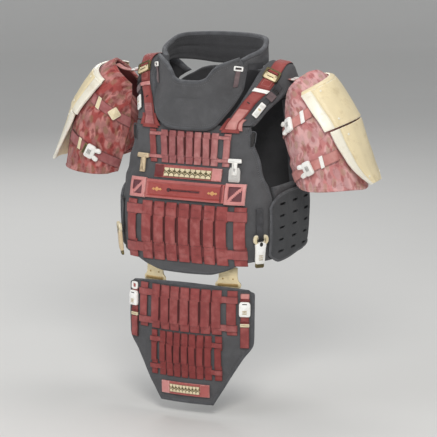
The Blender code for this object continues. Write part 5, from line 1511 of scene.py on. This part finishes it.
def sleeves():
    mm = lambda a, t: (a * 1.45, t * 255)
    for side, name in both("arm_sleeve"):
        folds = []
        for k, (a0, t0, a1, t1, w, depth) in enumerate(ARM_FOLDS):
            j = noise.noise(Vector((k * 3.1, side * 5.0, 0.5)))
            a = mm(a0 + 7 * j, t0 + 0.03 * j)
            b = mm(a1 - 6 * j, t1 + 0.02 * j)
            folds.append((a[0], a[1], b[0], b[1], w * (1 + 0.2 * j), depth * (1 + 0.25 * j)))

        def at(c, r):
            a = SLEEVE_FROM + (SLEEVE_TO - SLEEVE_FROM) * c
            lo, hi = table(ARM_HEM, a, 1), table(ARM_BRIM, a, 1)
            return arm(a, hi + (lo - hi) * r)

        def out(p, d, c, r):
            a = SLEEVE_FROM + (SLEEVE_TO - SLEEVE_FROM) * c
            lo, hi = table(ARM_HEM, a, 1), table(ARM_BRIM, a, 1)
            t = hi + (lo - hi) * r
            q = mm(a, t)
            h = soft_fold(q, folds, side * 2.0)
            # gathers running up from the hem, uneven in spacing and length
            below = (lo - t) * 255
            g = noise.noise(Vector((q[0] * 0.075, below * 0.006, side * 3.0)))
            h += 3.0 * g * exp(-(below / 52) ** 2)
            # level seam across the cap
            h -= 1.6 * exp(-((t - 0.075 - 0.02 * sin(a / 40)) * 255 / 2.0) ** 2) * smooth(60, 84, abs(a))
            return h + uneven(p, 1.1, 30, side * 4.0) + uneven(p, 0.5, 12, side)

        s = Piece(name)
        s.shell(at, stations(540, 5.2), stations(285, 5.2), -SLEEVE_T, 0, (PRINTS[side], PRINTS[side], PRINT_LINING), side,
                soft=(3, 3, 3, 3.5), bind=8.0, out=out, inn=lambda p, d, c, r: uneven(p, 1.2, 40, side))
        s.make([name], sheet=("gathered", ["upper_plate" + name[-2:]]))

    def interp(rows, r):
        x = r * (len(rows) - 1)
        pts = [Vector(row[1:4]) for row in rows]
        more = [Vector((row[0], row[4], 0)) for row in rows]
        p, q = catmull(pts, x), catmull(more, x)
        return q.x, p.x, p.y, p.z, q.y

    for piece, rows in (("upper_plate", UPPER_PLATE), ("lower_plate", LOWER_PLATE)):
        upper = piece == "upper_plate"
        for side, name in both(piece):
            def at(c, r):
                t, fore, aft, off, slant = interp(rows, r)
                p, n = arm(fore + (aft - fore) * c, t + slant * (1 - c) ** 1.5)
                return p + n * off, n

            def out(p, d, c, r):
                h = 3.0 * (1 - smooth(0.105, 0.135, c))                     # raised front lip
                h -= 1.9 * exp(-((c - 0.148) / 0.014) ** 2)                 # groove beside it
                h += 1.7 * exp(-((c - 0.30) / 0.05) ** 2) - 1.2 * smooth(0.62, 0.8, c) * (1 - smooth(0.9, 1, c))   # pressed facets
                if upper:
                    h -= 0.8 * exp(-((r - 0.90) / 0.03) ** 2) * smooth(0.16, 0.2, c)
                return h + uneven(p, 0.5, 34, side)

            cs = sorted(set(stations(240 if upper else 150, 5.0, (0, 0.8, 2, 4, 6.5)) + [0.09, 0.105, 0.12, 0.135, 0.142, 0.149, 0.156, 0.17]))
            s = Piece(name)
            s.shell(at, cs, stations(112 if upper else 155, 5.0, (0, 0.8, 2, 4, 6.5)), 0, PLATE_T, (PLATE, PLATE, PLATE), side,
                    soft=(1.8, 1.8, 1.8, 1.8), out=out)
            lip = s.mat(PLATE_LIP)
            cols = len(cs)
            # lip faces: those whose columns lie in front of the groove
            for k, f in enumerate(s.f):
                if sum(cs[v % cols] for v in f) / len(f) < 0.13:
                    s.m[k] = lip
            if upper:                                       # top edge turned in over the shoulder
                def turned(c, r):
                    t, fore, aft, off, slant = UPPER_PLATE[0]
                    p, n = arm(fore + (aft - fore) * (0.004 + 0.99 * c), t + slant * (1 - (0.004 + 0.99 * c)) ** 1.5 - 0.046 * r)
                    return p + n * (off + 2.2 - 6.5 * r ** 1.6), n
                s.shell(turned, stations(225, 6.0), even(5), -1.6, 3.0, ((PLATE if side > 0 else PLATE_LIP),) * 2 + (PLATE,), side, soft=(1.5, 1.5, 0.5, 1.8), measure=False)
            # rivets at the corners
            for c, r in ((0.22, 0.12), (0.22, 0.86), (0.92, 0.12), (0.92, 0.86)):
                p, n = at(c, r)
                up = at(c, min(1, r + 0.05))[0] - at(c, max(0, r - 0.05))[0]
                s.slab([(2.9 * cos(k * pi / 6), 2.9 * sin(k * pi / 6)) for k in range(12)], 1.6, pose_of(p, n, up, side, PLATE_T - 0.2), PLATE_LIP, 0.6, crown=0.3)
            s.make([name], angle=50)

    for strap, a0, a1, t0, t1, look in (("arm_strap_upper", 72, 150, 0.25, 0.40, WEB_PINK), ("arm_strap_lower", 47, 148, 0.70, 0.83, WEB_PINK)):
        for side, name in both(strap):
            def at(c, r):
                a = a0 + (a1 - a0) * r
                return arm(a, t0 + (t1 - t0) * r + 0.098 * (c - 0.5))
            s = Piece(name)
            # pale webbing on the wearer's left arm, darker chest webbing on the right: partly painted light and painted
            # shade
            web = look if side > 0 else WEB_CHEST
            s.shell(at, RIBBON, stations((a1 - a0) * 1.45, 4.5), 0.6, 2.0 + WEB_T, (web, web, WEB_DARK), side, soft=(1, 1, 1.5, 1.5),
                    out=lambda p, d, c, r: uneven(p, 0.8, 14, side) + 0.6 * sin(r * 14))
            # folded end and a keeper loop; the end is pale on the wearer's left arm and in chest webbing on the right:
            # partly painted light and painted shade
            e = band(at, 0.02, 0.25 if strap.endswith('lower') else 0.16, -0.03, 1.03)
            s.shell(e, RIBBON, stations(34, 4, (0, 1, 2.4)), 3.2, 6.2, (WEB_PINK if side > 0 else WEB_CHEST,) * 3, side, soft=(1.4, 1.4, 2, 2), measure=False)
            k = band(at, *((0.25, 0.305) if strap.endswith('lower') else (0.18, 0.27)), -0.08, 1.08)
            s.shell(k, RIBBON, even(3), 3.0, 7.0, (WHITE_HARD,) * 3 if side > 0 else (CREAM_HARD,) * 3, side, soft=(1.2, 1.2, 1.2, 1.2), measure=False)
            s.make([name], sheet=("stretched", ["arm_sleeve" + name[-2:]]))
    for strap, a, t, slope in (("arm_buckle_upper", 120, 0.342, 0.00192), ("arm_buckle_lower", 101, 0.770, 0.00129)):
        for side, name in both(strap):
            s = Piece(name)
            p, n = arm(a, t)
            up = arm(a + 8, t + 8 * slope)[0] - arm(a - 8, t - 8 * slope)[0]
            diamond = side < 0 and strap.endswith("upper")
            if diamond:                                     # stands on its corner in the photo
                up = arm(a + 8, t)[0] - arm(a - 8, t)[0]
            pose = pose_of(p, n, up, side, 5.2)
            look = WHITE_HARD if side > 0 or strap.endswith("lower") else CREAM_HARD
            if diamond:
                s.slab([(-18, 0), (0, -18.5), (18, 0), (0, 18.5)], 7.6, pose, look, 2.0, crown=0.7, soft=4)
                s.slab([(-10, 0), (0, -10), (10, 0), (0, 10)], 1.4, pose, look, 0.6, z0=7.6, crown=0.5, soft=2)
            else:
                s.slab([(-16, -19), (16, -19), (18, -14), (18, 1), (13, 7), (-13, 7), (-18, 1), (-18, -14)], 8.0, pose, look, 2.2, crown=0.8, soft=3.5)
                for k in (1, -1):
                    prong = [(k * 4, 5), (k * 13, 4), (k * 17.5, 11), (k * 17, 18), (k * 12, 21.5), (k * 7, 20), (k * 5, 13)]
                    s.slab(prong if k > 0 else list(reversed(prong)), 7.4, pose, look, 1.9, crown=0.6, soft=3)
                s.slab([(-9, -14), (9, -14), (9, -2), (-9, -2)], 1.2, pose, look, 0.6, z0=8.2, crown=0.4, soft=2)
                for y in (-11.5, -8, -4.5):
                    s.slab([(-7, y - 0.6), (7, y - 0.6), (7, y + 0.6), (-7, y + 0.6)], 0.9, pose, GREY_HARD, 0.35, z0=9.2)
            if strap.endswith("lower") and side < 0:
                s.slab([(-14, -27), (14, -27), (13, -18), (-13, -18)], 5.4, pose, OLIVE_HARD, 1.4, soft=2)
            s.make([name])
    for side, name in both("arm_link"):
        s = Piece(name)
        spine, across, nors = ([Vector(row[k]) for row in ARM_LINK] for k in (0, 1, 2))

        def at(c, r):
            return catmull(spine, 6 * r) + catmull(across, 6 * r).normalized() * 24 * (c - 0.5), catmull(nors, 6 * r).normalized()
        s.shell(at, RIBBON, even(26), 0.0, WEB_T + 0.4, (WEB_PINK, WEB_PINK, WEB_PINK), side, soft=(1, 1, 1, 1))
        p, n = at(0.5, 0.2)
        s.make([name], sheet=("stretched", ["shoulder_yoke" + name[-2:]]))
        e = Piece("link_slider" + name[-2:])
        e.ring(soften([(-14, -5), (14, -5), (14, 5), (-14, 5)], 3), soften([(-11, -2.4), (11, -2.4), (11, 2.4), (-11, 2.4)], 1), 2.6,
               pose_of(p, n, Vector((1, 0, -0.4)), side, WEB_T + 0.6), WHITE_HARD)
        ob = e.make([])


front_carrier()
back_carrier()
side_pieces()
yokes()
collar_pieces()
for row in WEB_ROWS:
    web_row(*row)
shoulder_straps()
tab_straps()
chest_trim()
side_buckles()
apron_pieces()
sleeves()


# ---------------------------------------------------------------- floor, light and camera
def plain(name, color, rough):
    k = Look(name)
    n = k.noise(3.0, 2)
    return k.done(k.mix(n, shade(color, 0.985), shade(color, 1.015)), rough)


floor_z = CAD_BOX[0][2] - 0.03
mesh = bpy.data.meshes.new("floor")
verts, faces, n = [], [], 24
for i in range(n + 1):      # floor that curves up into the backdrop
    t = i / n
    y = -10.0 + 18.0 * min(1.0, t / 0.6) if t < 0.6 else 8.0 + 2.6 * sin((t - 0.6) / 0.4 * pi / 2)
    z = floor_z if t < 0.6 else floor_z + 8.0 * (1 - cos((t - 0.6) / 0.4 * pi / 2))
    for x in (-12.0, 12.0):
        verts.append((x, y, z))
for i in range(n):
    faces.append((2 * i, 2 * i + 1, 2 * i + 3, 2 * i + 2))
mesh.from_pydata(verts, [], faces)
mesh.polygons.foreach_set("use_smooth", [True] * len(faces))
floor = bpy.data.objects.new("floor", mesh)
floor.data.materials.append(plain("floor_pale", srgb(222, 221, 218), 0.8))
bpy.context.scene.collection.objects.link(floor)
floor.rotation_euler = (0, 0, radians(27))


def light(name, place_at, size, power, color, aim=(0, 0, -0.3)):
    data = bpy.data.lights.new(name, "AREA")
    data.shape, data.size, data.energy, data.color = "DISK", size, power, color
    ob = bpy.data.objects.new(name, data)
    ob.location = place_at
    ob.rotation_euler = (Vector(aim) - Vector(place_at)).to_track_quat("-Z", "Y").to_euler()
    bpy.context.scene.collection.objects.link(ob)


light("key", (1.9, -3.4, 2.2), 1.5, 104, (1.0, 0.98, 0.95))
light("fill", (-2.6, -3.2, 0.7), 2.6, 30, (0.95, 0.97, 1.0))
light("top", (0.2, 0.6, 3.2), 1.8, 30, (1.0, 1.0, 1.0))
light("rim", (-2.4, 2.6, 1.6), 1.4, 24, (1.0, 1.0, 1.0))
world = bpy.data.worlds.new("studio")
bpy.context.scene.world = world
world.use_nodes = True
world.node_tree.nodes["Background"].inputs[0].default_value = (0.92, 0.94, 0.97, 1)
world.node_tree.nodes["Background"].inputs[1].default_value = 0.44
bpy.context.scene.view_settings.view_transform = "Standard"
bpy.context.scene.view_settings.look = "None"

A, E = radians(27.0), radians(10.4)
cam_b = Vector((sin(A) * cos(E), -cos(A) * cos(E), sin(E)))
cam_r = Vector((cos(A), sin(A), 0))
cam_u = cam_b.cross(cam_r)
data = bpy.data.cameras.new("camera")
data.sensor_width, data.lens = 36.0, 36.0 * 2394 / 437
data.clip_end = 100
cam = bpy.data.objects.new("camera", data)
turn = Matrix((cam_r, cam_u, cam_b)).transposed().to_4x4()
turn.translation = cam_b * 6.0 + cam_r * 0.010 - Vector((0, 0, 0.386))
cam.matrix_world = turn
bpy.context.scene.collection.objects.link(cam)
bpy.context.scene.camera = cam

bpy.context.view_layer.update()
